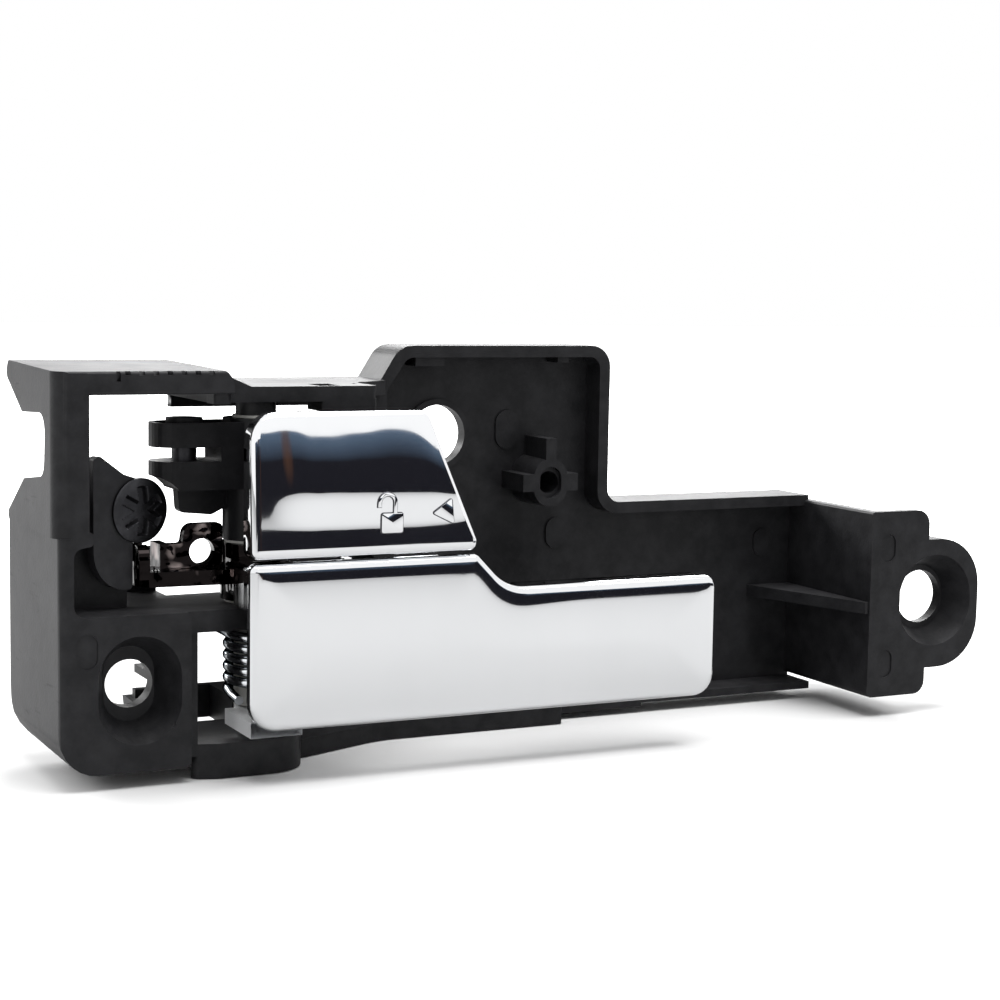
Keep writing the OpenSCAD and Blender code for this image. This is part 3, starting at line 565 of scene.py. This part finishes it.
def inset_outline(corners, inset, steps):
    """An outline moved inwards, with as many points for every inset."""
    count = len(corners)
    lines = []
    for index in range(count):
        a = Vector(corners[index][:2])
        b = Vector(corners[(index + 1) % count][:2])
        along = (b - a).normalized()
        inward = Vector((-along.y, along.x))
        lines.append((a + inward * inset, along))
    moved = []
    for index in range(count):
        p, d = lines[index - 1]
        q, e = lines[index]
        cross = d.x * e.y - d.y * e.x
        gap = q - p
        moved.append(p + d * ((gap.x * e.y - gap.y * e.x) / cross))
    points = []
    for index in range(count):
        before, here = moved[index - 1], moved[index]
        after = moved[(index + 1) % count]
        d, e = here - before, after - here
        hollow = d.x * e.y - d.y * e.x < 0
        radius = corners[index][2] + (inset if hollow else -inset)
        points += corner_points(before, here, after, max(radius, 0.05), steps)
    return points


def add_ring(bm, points, depth):
    """A ring of vertices at one depth."""
    return [bm.verts.new((p.x, depth, p.y)) for p in points]


def join_rings(bm, a, b):
    """A band of faces between two rings."""
    count = len(a)
    for index in range(count):
        other = (index + 1) % count
        bm.faces.new((a[index], a[other], b[other], b[index]))


def grid_face(bm, ring, pitch):
    """Closes a ring with a face that is cut into a grid."""
    face = bm.faces.new(ring)
    xs = [v.co.x for v in ring]
    zs = [v.co.z for v in ring]
    made = {face}
    for axis, values in ((0, xs), (2, zs)):
        normal = Vector((1, 0, 0)) if axis == 0 else Vector((0, 0, 1))
        low, high = min(values), max(values)
        cuts = int((high - low) / pitch)
        for index in range(1, cuts):
            point = normal * (low + (high - low) * index / cuts)
            faces = [f for f in made if f.is_valid]
            edges = {e for f in faces for e in f.edges}
            verts = {v for f in faces for v in f.verts}
            result = bmesh.ops.bisect_plane(
                bm, geom=faces + list(edges) + list(verts),
                plane_co=point, plane_no=normal, dist=1e-5)
            made |= {g for g in result["geom"]
                     if isinstance(g, bmesh.types.BMFace)}
    return [f for f in made if f.is_valid]


def rounded_rings(bm, corners, front, back, radius, steps, arc=6):
    """Rings of a plate's rounded front edge and its side wall."""
    rings = [add_ring(bm, inset_outline(corners, 0, steps), back)]
    for index in range(arc + 1):
        angle = math.pi / 2 * index / arc
        inset = radius * (1 - math.cos(angle))
        depth = front + radius * (1 - math.sin(angle))
        rings.append(add_ring(bm, inset_outline(corners, inset, steps),
                              depth))
    for a, b in zip(rings, rings[1:]):
        join_rings(bm, a, b)
    return rings


def finish_mesh(bm, name, material, body, node_names=(),
                angle=40):
    """Turns a millimetre mesh into a smooth-shaded piece on a body."""
    bmesh.ops.recalc_face_normals(bm, faces=bm.faces)
    for vertex in bm.verts:
        vertex.co = Vector(place(*vertex.co))
    mesh = bpy.data.meshes.new(name)
    bm.to_mesh(mesh)
    bm.free()
    piece = bpy.data.objects.new(name, mesh)
    bpy.context.scene.collection.objects.link(piece)
    mesh.materials.append(material)
    mesh.shade_smooth()
    mesh.set_sharp_from_angle(angle=math.radians(angle))
    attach(piece, body)
    if node_names:
        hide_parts(*node_names)
    return piece


def dress(node, finish):
    """Gives a solid its finish."""
    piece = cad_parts[node]
    piece.data.materials.clear()
    piece.data.materials.append(finishes()[finish])


def soft_edges(node, body, finish, width):
    """A copy of a solid whose sharp edges are softened."""
    sharp = math.radians(32)
    bm = bmesh.new()
    bm.from_mesh(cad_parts[node].data)
    bmesh.ops.remove_doubles(bm, verts=bm.verts, dist=2e-6)
    bmesh.ops.dissolve_limit(bm, angle_limit=math.radians(1),
                             verts=bm.verts, edges=bm.edges)
    mesh = bpy.data.meshes.new(node + "_soft")
    bm.to_mesh(mesh)
    bm.free()
    mesh.materials.append(finishes()[finish])
    mesh.shade_smooth()
    mesh.set_sharp_from_angle(angle=sharp)
    piece = bpy.data.objects.new(node + "_soft", mesh)
    bpy.context.scene.collection.objects.link(piece)
    bevel = piece.modifiers.new("Soft edges", "BEVEL")
    bevel.width = width * MM
    bevel.segments = 2
    bevel.limit_method = "ANGLE"
    bevel.angle_limit = sharp
    bevel.use_clamp_overlap = True
    bevel.harden_normals = True
    even = piece.modifiers.new("Even shading", "WEIGHTED_NORMAL")
    even.keep_sharp = True
    even.weight = 100
    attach(piece, body)
    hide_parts(node)


class HANDLE_OT_housing(bpy.types.Operator):
    """Dress the housing, its retainer plate and the hidden small parts"""
    bl_idname = "handle.housing"
    bl_label = "Housing and small parts"

    def execute(self, context):
        """Assigns each solid its finish."""
        soft_edges("base_frame", "housing", "black_housing",
                   context.scene.handle_sizes.housing_edge)
        dress("lock_carrier", "black_lock")
        dress("retainer_plate", "black_retainer")
        dress("screw_insert", "insert_brass")
        dress("pivot_pin", "pin_steel")
        dress("lock_cable_pin", "black_screw")
        for node in ("pin_clip", "detent_ball", "detent_spring"):
            dress(node, "spring_steel")
        for node in ("rest_pad", "open_pad"):
            dress(node, "black_rubber")
        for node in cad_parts:
            if "bush" in node or "washer" in node or "sleeve" in node:
                dress(node, "acetal")
        return {"FINISHED"}


class HANDLE_OT_lever(bpy.types.Operator):
    """Make the plated face of the pull lever"""
    bl_idname = "handle.lever"
    bl_label = "Pull lever"

    def execute(self, context):
        """Builds the crowned face and joins the arms behind it."""
        s = context.scene.handle_sizes
        front = s.lever_front
        corners = [(s.lever_left, s.lever_foot, 5.5),
                   (s.lever_right, s.lever_foot, 4.5),
                   (s.lever_right, s.grip_top, 2.4),
                   (SLOPE_FOOT, s.grip_top, 9),
                   (SLOPE_TOP, s.lever_head, 1.6),
                   (s.lever_left, s.lever_head, 1.6)]
        bm = bmesh.new()
        rings = rounded_rings(bm, corners, front + s.crown,
                              front + LEVER_THICK, s.edge_radius, 8)
        ring = ring_edges(rings[-1])
        tops = ring_edges(rings[-1], s.grip_top - 3.5)
        faces = grid_face(bm, rings[-1], 1.0)
        fixed = set(rings[-1])
        for vertex in {v for f in faces for v in f.verts} - fixed:
            x, z = vertex.co.x, vertex.co.z
            vertex.co.y -= s.crown * lever_bulge(ring, x, z)
            vertex.co.y += lever_shoulder(s, tops, x, z)
        for index, vertex in enumerate(rings[-1]):
            fall = lever_shoulder(s, tops, vertex.co.x, vertex.co.z)
            for loop in rings[1:]:
                loop[index].co.y += fall
        bm.faces.new(rings[0])
        keep_behind(bm, "release_lever", front + LEVER_THICK - 0.1)
        finish_mesh(bm, "release_lever_shell", finishes()["chrome_lever"],
                    "lever", ("release_lever",), 35)
        return {"FINISHED"}


def ring_edges(ring, low=-1000):
    """Edges of a ring that lie above a height, as pairs of places."""
    places = [Vector((v.co.x, v.co.z)) for v in ring]
    return [(a, b) for a, b in zip(places, places[1:] + places[:1])
            if a.y > low and b.y > low]


def edge_distance(edges, x, z):
    """Distance of a place to the nearest of some edges."""
    here = Vector((x, z))
    nearest = 1000.0
    for a, b in edges:
        way = b - a
        along = (here - a).dot(way) / max(way.length_squared, 1e-12)
        foot = a + way * min(max(along, 0), 1)
        nearest = min(nearest, (here - foot).length)
    return nearest


def lever_shoulder(s, tops, x, z):
    """Gentle fall of the lever's face towards its top edges."""
    middle, half_width, gain = 86, 9, 0.8
    wider = gain * math.exp(-((x - middle) / half_width) ** 2)
    reach = s.shoulder_width * (1 + wider)
    away = max(0, 1 - edge_distance(tops, x, z) / reach)
    return s.shoulder_slope * reach / 2 * away * away


def lever_bulge(ring, x, z):
    """Height of the lever's crown: 0 at its edge, 1 in the middle."""
    reach, fullness = 14, 2.2
    near = min(edge_distance(ring, x, z) / reach, 1)
    return 1 - (1 - near) ** fullness


def keep_behind(bm, node, depth):
    """Adds the part of a solid that lies behind a depth."""
    other = bmesh.new()
    other.from_mesh(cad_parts[node].data)
    geometry = other.verts[:] + other.edges[:] + other.faces[:]
    bmesh.ops.bisect_plane(other, geom=geometry, dist=1e-7,
                           plane_co=place(0, depth, 0), plane_no=(0, 1, 0),
                           clear_inner=True)
    mesh = bpy.data.meshes.new("behind")
    other.to_mesh(mesh)
    other.free()
    first = len(bm.verts)
    bm.from_mesh(mesh)
    bpy.data.meshes.remove(mesh)
    bm.verts.ensure_lookup_table()
    for vertex in bm.verts[first:]:
        x, y, z = vertex.co
        vertex.co = (x / MM + ORIGIN_X, y / MM + ORIGIN_Y, z / MM)


def cap_tilt(v):
    """Tilt of the cap's face at a share of its height from the top."""
    for (a, p), (b, q) in zip(CAP_KNOTS, CAP_KNOTS[1:]):
        if v <= b:
            return p + (q - p) * (v - a) / (b - a)
    return CAP_KNOTS[-1][1]


def cap_profile(height, least=-90, steps=130):
    """Depth of the cap's face from its top down, its foremost point 0."""
    depths = [0.0]
    for index in range(steps):
        v = (index + 0.5) / steps
        tilt = cap_tilt(v)
        if v < CAP_LEFT_END:
            tilt = max(tilt, least)
        depths.append(depths[-1] - math.tan(math.radians(tilt))
                      * height / steps)
    foremost = min(depths)
    return [d - foremost for d in depths]


def cap_depth(s, profiles, x, z):
    """How far the cap's face lies behind its foremost point."""
    low, high = s.cap_foot, s.cap_top
    up = min(max((z - low) / (high - low), 0), 1)
    right = s.cap_foot_right + (s.cap_top_right - s.cap_foot_right) * up
    across = min(max((x - s.lever_left) / (right - s.lever_left), 0), 1)
    place_in = (1 - up) * (len(profiles[0]) - 1)
    index = min(int(place_in), len(profiles[0]) - 2)
    part = place_in - index
    main, edge = [p[index] * (1 - part) + p[index + 1] * part
                  for p in profiles]
    left = min(max((0.3 - across) / 0.22, 0), 1)
    left = left * left * (3 - 2 * left)
    depth = main + (edge - main) * left
    ripple = 0.016 * math.sin(x * 0.16 + 0.4) * math.sin(z * 0.3)
    ripple += 0.0016 * math.sin(x * 0.9 + z * 0.3)
    fall = s.cap_shoulder_left if across < 0.5 else s.cap_shoulder
    shoulder = fall * abs(2 * across - 1) ** 7
    return s.cap_dish * (depth + ripple * (1 - abs(2 * across - 1) ** 4)
                         + shoulder)


def raised_sign(bm, outline, height, surface):
    """A small raised shape that follows the cap's face."""
    points = [Vector(p) for p in outline]
    count = len(points)
    levels = ((0, 0.25), (0, -height * 0.45), (0.07, -height * 0.85),
              (0.16, -height))
    rings = []
    for inset, offset in levels:
        ring = []
        for index in range(count):
            a, b = points[index - 1], points[index]
            c = points[(index + 1) % count]
            u = (b - a).normalized()
            v = (c - b).normalized()
            inward = Vector((-u.y - v.y, u.x + v.x)).normalized()
            p = b + inward * inset
            ring.append(bm.verts.new(
                (p.x, surface(p.x, p.y) + offset, p.y)))
        rings.append(ring)
    for a, b in zip(rings, rings[1:]):
        join_rings(bm, a, b)
        # The side walls take the second finish, painted shade
        for face in [f for v in a for f in v.link_faces]:
            face.material_index = 1
    bm.faces.new(rings[-1])
    bm.faces.new(rings[0])


def ring_points(x, z, radius, start, end, steps):
    """Points of an arc, angles in degrees."""
    found = []
    for index in range(steps + 1):
        angle = math.radians(start + (end - start) * index / steps)
        found.append((x + radius * math.cos(angle),
                      z + radius * math.sin(angle)))
    return found


def padlock_outlines(x, z, size):
    """An open padlock: its body and its swung shackle."""
    half = size * 0.3
    body = [(x - half, z - size / 2), (x + half, z - size / 2),
            (x + half, z + size * 0.02), (x - half, z + size * 0.02)]
    soft = []
    count = len(body)
    for index in range(count):
        soft += [tuple(p) for p in corner_points(
            body[index - 1], body[index], body[(index + 1) % count],
            size * 0.07, 4)]
    centre = x - half * 0.45
    outer, inner = size * 0.27, size * 0.15
    arch = z + size * 0.26
    shackle = ([(centre + outer, z - size * 0.02)]
               + ring_points(centre, arch, outer, 0, 180, 10)
               + [(centre - outer, arch - size * 0.12),
                  (centre - inner, arch - size * 0.12)]
               + ring_points(centre, arch, inner, 180, 0, 8)
               + [(centre + inner, z - size * 0.02)])
    return soft, shackle


def triangle_outline(x, z, size):
    """A rounded triangle that points to the left."""
    tips = [(x - size * 0.5, z - size * 0.06), (x + size * 0.42,
            z - size * 0.5), (x + size * 0.3, z + size * 0.5)]
    soft = []
    for index in range(3):
        soft += [tuple(p) for p in corner_points(
            tips[index - 1], tips[index], tips[(index + 1) % 3],
            size * 0.08, 5)]
    return soft


class HANDLE_OT_cap(bpy.types.Operator):
    """Make the dished cap of the lock lever"""
    bl_idname = "handle.cap"
    bl_label = "Lock cap"

    def execute(self, context):
        """Builds the cap with its rim, hollow face and raised signs."""
        s = context.scene.handle_sizes
        front = s.lever_front
        corners = [(s.lever_left + 0.2, s.cap_foot, 1.6),
                   (s.cap_foot_right, s.cap_foot, 1.6),
                   (s.cap_top_right, s.cap_top, 2.2),
                   (s.lever_left + 0.2, s.cap_top, 5.5)]
        steps = 8
        bm = bmesh.new()
        rings = rounded_rings(bm, corners, front, front + CAP_THICK,
                              s.cap_edge, steps)
        faces = grid_face(bm, rings[-1], 0.7)
        height = s.cap_top - s.cap_foot
        profile = (cap_profile(height), cap_profile(height, CAP_LEFT_TILT))
        moved = {v for f in faces for v in f.verts}
        for ring in rings[1:-1]:
            moved |= set(ring)
        for vertex in moved:
            vertex.co.y += cap_depth(s, profile, vertex.co.x, vertex.co.z)

        def surface(x, z):
            """Depth of the cap's face at a place."""
            return front + cap_depth(s, profile, x, z)

        for outline in padlock_outlines(*PADLOCK):
            raised_sign(bm, outline, s.sign_height, surface)
        raised_sign(bm, triangle_outline(*TRIANGLE), s.sign_height, surface)
        inside = add_ring(bm, inset_outline(corners, CAP_RIM, steps),
                          front + CAP_THICK)
        floor = add_ring(bm, inset_outline(corners, CAP_WALL, steps),
                         front + CAP_FLOOR)
        join_rings(bm, rings[0], inside)
        join_rings(bm, inside, floor)
        bm.faces.new(floor)
        shell = finish_mesh(bm, "lock_cap_shell", finishes()["chrome_cap"],
                            "lock", ("lock_cap",), 35)
        # Second finish: painted shade on the signs' side walls
        shell.data.materials.append(finishes()["relief"])
        return {"FINISHED"}


def screw_depth(s, r, angle):
    """Height of the screw's domed head with its six-armed recess."""
    dome = s.head_dome * (1 - (r / s.head_radius) ** 2)
    arm = angle % (math.pi / 3) - math.pi / 6
    across = abs(r * math.sin(arm))
    ending = max(0, (r - s.recess_reach) / 0.8)
    inside = 1 - max(across / s.recess_width, ending)
    return dome - s.recess_depth * min(1, max(0, 3 * inside))


class HANDLE_OT_screw(bpy.types.Operator):
    """Make the retainer screw with its domed head"""
    bl_idname = "handle.screw"
    bl_label = "Retainer screw"

    def execute(self, context):
        """Turns the head, its recess and the shank as one piece."""
        s = context.scene.handle_sizes
        around, rows = 144, 25
        profile = [(s.head_radius * (index + 1) / (rows + 1), None)
                   for index in range(rows)]
        profile += [(s.head_radius, -0.1), (s.head_radius, -s.head_edge),
                    (SHANK_RADIUS, -s.head_edge),
                    (SHANK_RADIUS, -s.head_edge - SHANK_LENGTH)]
        turn = math.radians(SCREW_TURN)
        bm = bmesh.new()

        def vertex(r, angle, out):
            """A vertex at a radius, an angle and a height of the head."""
            across = r * math.cos(angle)
            out = out + s.head_edge
            return bm.verts.new((
                SCREW_AT[0] + across * math.cos(turn) + out * math.sin(turn),
                SCREW_AT[1] + across * math.sin(turn) - out * math.cos(turn),
                SCREW_AT[2] + r * math.sin(angle)))

        rings = []
        for r, out in profile:
            ring = []
            for index in range(around):
                angle = 2 * math.pi * index / around
                level = screw_depth(s, r, angle) if out is None else out
                ring.append(vertex(r, angle, level))
            rings.append(ring)
        for a, b in zip(rings, rings[1:]):
            join_rings(bm, a, b)
        centre = vertex(0, 0, s.head_dome - s.recess_depth)
        for a, b in zip(rings[0], rings[0][1:] + rings[0][:1]):
            bm.faces.new((centre, a, b))
        bm.faces.new(rings[-1])
        finish_mesh(bm, "retainer_screw_turned", finishes()["black_screw"],
                    "housing", ("retainer_screw",), 28)
        return {"FINISHED"}


class HANDLE_OT_spring(bpy.types.Operator):
    """Make the return spring from round wire"""
    bl_idname = "handle.spring"
    bl_label = "Return spring"

    def execute(self, context):
        """Follows the coil and its two legs."""
        s = context.scene.handle_sizes
        curve = bpy.data.curves.new("return_spring_wire", "CURVE")
        curve.dimensions = "3D"
        curve.bevel_depth = s.wire / 2 * MM
        curve.bevel_resolution = 5
        pitch = s.wire + SPRING_GAP
        left = PIVOT_X - s.coil_radius
        points = [(left, 4, SPRING_FOOT - 1), (left, 7.5, SPRING_FOOT - 0.6)]
        for index in range(SPRING_STEPS * s.turns + 1):
            turned = index / SPRING_STEPS
            angle = math.pi * (1 - 2 * turned)
            points.append((PIVOT_X + s.coil_radius * math.cos(angle),
                           PIVOT_Y + s.coil_radius * math.sin(angle),
                           SPRING_FOOT + pitch * turned))
        x, y, z = points[-1]
        points += [(x, y + 3, z + 0.1), (x, y + 8, z + 0.1)]
        spline = curve.splines.new("POLY")
        spline.points.add(len(points) - 1)
        for item, point in zip(spline.points, points):
            item.co = (*place(*point), 1)
        curve.use_fill_caps = True
        piece = bpy.data.objects.new("return_spring_wire", curve)
        context.scene.collection.objects.link(piece)
        curve.materials.append(finishes()["zinc_wire"])
        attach(piece, "housing")
        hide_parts("return_spring")
        return {"FINISHED"}


def aim_camera():
    """The photograph's camera."""
    a = math.radians(CAMERA_AZIMUTH)
    e = math.radians(CAMERA_TILT)
    r = math.radians(CAMERA_ROLL)
    ahead = Vector((math.sin(a) * math.cos(e), math.cos(a) * math.cos(e),
                    -math.sin(e)))
    level = Vector((math.cos(a), -math.sin(a), 0))
    above = level.cross(ahead)
    side = level * math.cos(r) + above * math.sin(r)
    top = above * math.cos(r) - level * math.sin(r)
    data = bpy.data.cameras.new("Camera")
    data.sensor_width = SENSOR
    data.lens = CAMERA_PIXELS / IMAGE_WIDTH * SENSOR
    data.clip_end = 20
    camera = bpy.data.objects.new("Camera", data)
    bpy.context.scene.collection.objects.link(camera)
    matrix = camera.matrix_world.to_3x3()
    matrix.col[0] = side
    matrix.col[1] = top
    matrix.col[2] = -ahead
    camera.matrix_world = matrix.to_4x4()
    camera.location = place(*CAMERA_AT)
    bpy.context.scene.camera = camera


def area_light(name, at, target, size, power):
    """A soft lamp, size in metres, that looks at a point."""
    data = bpy.data.lights.new(name, "AREA")
    data.shape = "RECTANGLE"
    data.size, data.size_y = size
    data.energy = power
    lamp = bpy.data.objects.new(name, data)
    bpy.context.scene.collection.objects.link(lamp)
    lamp.location = at
    way = Vector(target) - lamp.location
    lamp.rotation_euler = way.to_track_quat("-Z", "Y").to_euler()


def stage_piece(name, bm, material, seen=True):
    """Puts a surface of the stage into the scene."""
    mesh = bpy.data.meshes.new(name)
    bm.to_mesh(mesh)
    bm.free()
    mesh.materials.append(material)
    piece = bpy.data.objects.new(name, mesh)
    bpy.context.scene.collection.objects.link(piece)
    piece.visible_camera = seen


def floor_plane(colour):
    """A pale floor that keeps the object's shadow."""
    half = 3.0
    depth = -0.0002
    bm = bmesh.new()
    bm.faces.new([bm.verts.new((x, y, depth)) for x, y in
                  ((-half, -half), (half, -half), (half, half),
                   (-half, half))])
    material, tree, shader = start_material("Floor")
    shader.inputs["Roughness"].default_value = 0.7
    path = tree.nodes.new("ShaderNodeLightPath")
    seen = mix_colour(tree, path.outputs["Is Camera Ray"],
                      [c * 0.54 for c in colour], colour)
    tree.links.new(seen, shader.inputs["Base Color"])
    shader.inputs["Emission Color"].default_value = (1, 1, 1, 1)
    coords = tree.nodes.new("ShaderNodeTexCoord").outputs["Object"]
    away = tree.nodes.new("ShaderNodeVectorMath")
    away.operation = "LENGTH"
    tree.links.new(coords, away.inputs[0])
    far = ramp(tree, away.outputs["Value"], 0.1, 0.38)
    glow = math_node(tree, "MULTIPLY", path.outputs["Is Camera Ray"], far)
    tree.links.new(glow, shader.inputs["Emission Strength"])
    stage_piece("floor", bm, material)


def dark_screen(radius, start, end, height):
    """A low dark screen in front, in metres, that the camera skips."""
    bm = bmesh.new()
    steps = 24
    rows = []
    for index in range(steps + 1):
        angle = math.radians(start + (end - start) * index / steps)
        x, y = radius * math.sin(angle), -radius * math.cos(angle)
        rows.append((bm.verts.new((x, y, 0)), bm.verts.new((x, y, height))))
    for a, b in zip(rows, rows[1:]):
        bm.faces.new((a[0], b[0], b[1], a[1]))
    material, tree, shader = start_material("Screen")
    coords = tree.nodes.new("ShaderNodeTexCoord").outputs["Generated"]
    split = tree.nodes.new("ShaderNodeSeparateXYZ")
    tree.links.new(coords, split.inputs[0])
    low = ramp(tree, split.outputs["Z"], 0.68, 1.0)
    colour = mix_colour(tree, low, (0.009, 0.009, 0.012),
                        (0.06, 0.088, 0.13))
    shader.inputs["Specular IOR Level"].default_value = 0
    near = ramp(tree, split.outputs["X"], 0.405, 0.413)
    far = ramp(tree, split.outputs["X"], 0.43, 0.42)
    warm = math_node(tree, "MULTIPLY", near, far)
    colour = mix_colour(tree, warm, colour, (0.06, 0.029, 0.017))
    tree.links.new(colour, shader.inputs["Base Color"])
    shader.inputs["Roughness"].default_value = 0.9
    stage_piece("screen", bm, material, False)


def painted_shade_card(left, right, low, high, depth):
    """A small dark card behind the housing, which the camera skips: painted
    shade that darkens the reflections in the housing's upper faces and casts
    shade on them.
    """
    bm = bmesh.new()
    corners = [bm.verts.new(place(x, depth, z)) for x, z in
               ((left, low), (right, low), (right, high), (left, high))]
    bm.faces.new(corners)
    material, tree, shader = start_material("Card")
    shader.inputs["Base Color"].default_value = (0.02, 0.02, 0.02, 1)
    shader.inputs["Roughness"].default_value = 0.9
    stage_piece("card", bm, material, False)


def white_world():
    """An even white surrounding."""
    world = bpy.data.worlds.new("Studio")
    world.use_nodes = True
    tree = world.node_tree
    back = tree.nodes["Background"]
    path = tree.nodes.new("ShaderNodeLightPath")
    seen = math_node(tree, "MAXIMUM", path.outputs["Is Camera Ray"],
                     path.outputs["Is Glossy Ray"])
    seen = math_node(tree, "MAXIMUM", seen,
                     path.outputs["Is Transmission Ray"])
    strength = math_node(tree, "MULTIPLY", seen, 0.56)
    strength = math_node(tree, "ADD", strength, 0.44)
    back.inputs["Color"].default_value = (1, 1, 1, 1)
    tree.links.new(strength, back.inputs["Strength"])
    bpy.context.scene.world = world


class HANDLE_OT_stage(bpy.types.Operator):
    """Make the floor, the lamps and the camera"""
    bl_idname = "handle.stage"
    bl_label = "Stage"

    def execute(self, context):
        """Lights the handle plainly."""
        context.scene.view_settings.view_transform = "Standard"
        aim_camera()
        white_world()
        floor_plane(list(context.scene.handle_colours.floor))
        dark_screen(0.75, -30, 85, 0.14)
        # Painted shade: hidden dark cards for the shelf and the ear's top
        # faces
        painted_shade_card(10, 72, 39, 68, 44)
        painted_shade_card(24, 62, 10, 27, 42)
        area_light("Back left", (-0.6, 1.0, 0.52), (0, 0, 0.04),
                   (0.9, 0.34), 11)
        area_light("Back right", (0.6, 1.05, 0.55), (0, 0, 0.04),
                   (0.9, 0.36), 12)
        area_light("Top", (0.1, -0.1, 1.0), (0, 0, 0), (0.8, 0.8), 12)
        return {"FINISHED"}


class HANDLE_PT_panel(bpy.types.Panel):
    """Lists the sizes, colours and making steps of the handle"""
    bl_label = "Door handle"
    bl_idname = "HANDLE_PT_panel"
    bl_space_type = "VIEW_3D"
    bl_region_type = "UI"
    bl_category = "Handle"

    def draw(self, context):
        """Draws the settings and the buttons."""
        layout = self.layout
        for group in (context.scene.handle_sizes,
                      context.scene.handle_colours):
            column = layout.column()
            for name in group.__annotations__:
                column.prop(group, name)
        for step in STEPS:
            layout.operator(step.bl_idname)


STEPS = (HANDLE_OT_housing, HANDLE_OT_lever, HANDLE_OT_cap,
         HANDLE_OT_screw, HANDLE_OT_spring, HANDLE_OT_stage)
CLASSES = (HandleSizes, HandleColours, *STEPS, HANDLE_PT_panel)


def register():
    """Adds the classes and the settings."""
    for item in CLASSES:
        bpy.utils.register_class(item)
    bpy.types.Scene.handle_sizes = PointerProperty(type=HandleSizes)
    bpy.types.Scene.handle_colours = PointerProperty(type=HandleColours)


def unregister():
    """Takes the settings and the classes away again."""
    del bpy.types.Scene.handle_colours
    del bpy.types.Scene.handle_sizes
    for item in reversed(CLASSES):
        bpy.utils.unregister_class(item)


def write_sizes():
    """Brings the scene's placements up to date."""
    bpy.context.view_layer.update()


def main():
    """Makes every piece and the stage."""
    register()
    for step in (bpy.ops.handle.housing, bpy.ops.handle.lever,
                 bpy.ops.handle.cap, bpy.ops.handle.screw,
                 bpy.ops.handle.spring, bpy.ops.handle.stage):
        step()
    write_sizes()


if __name__ == "__main__":
    main()
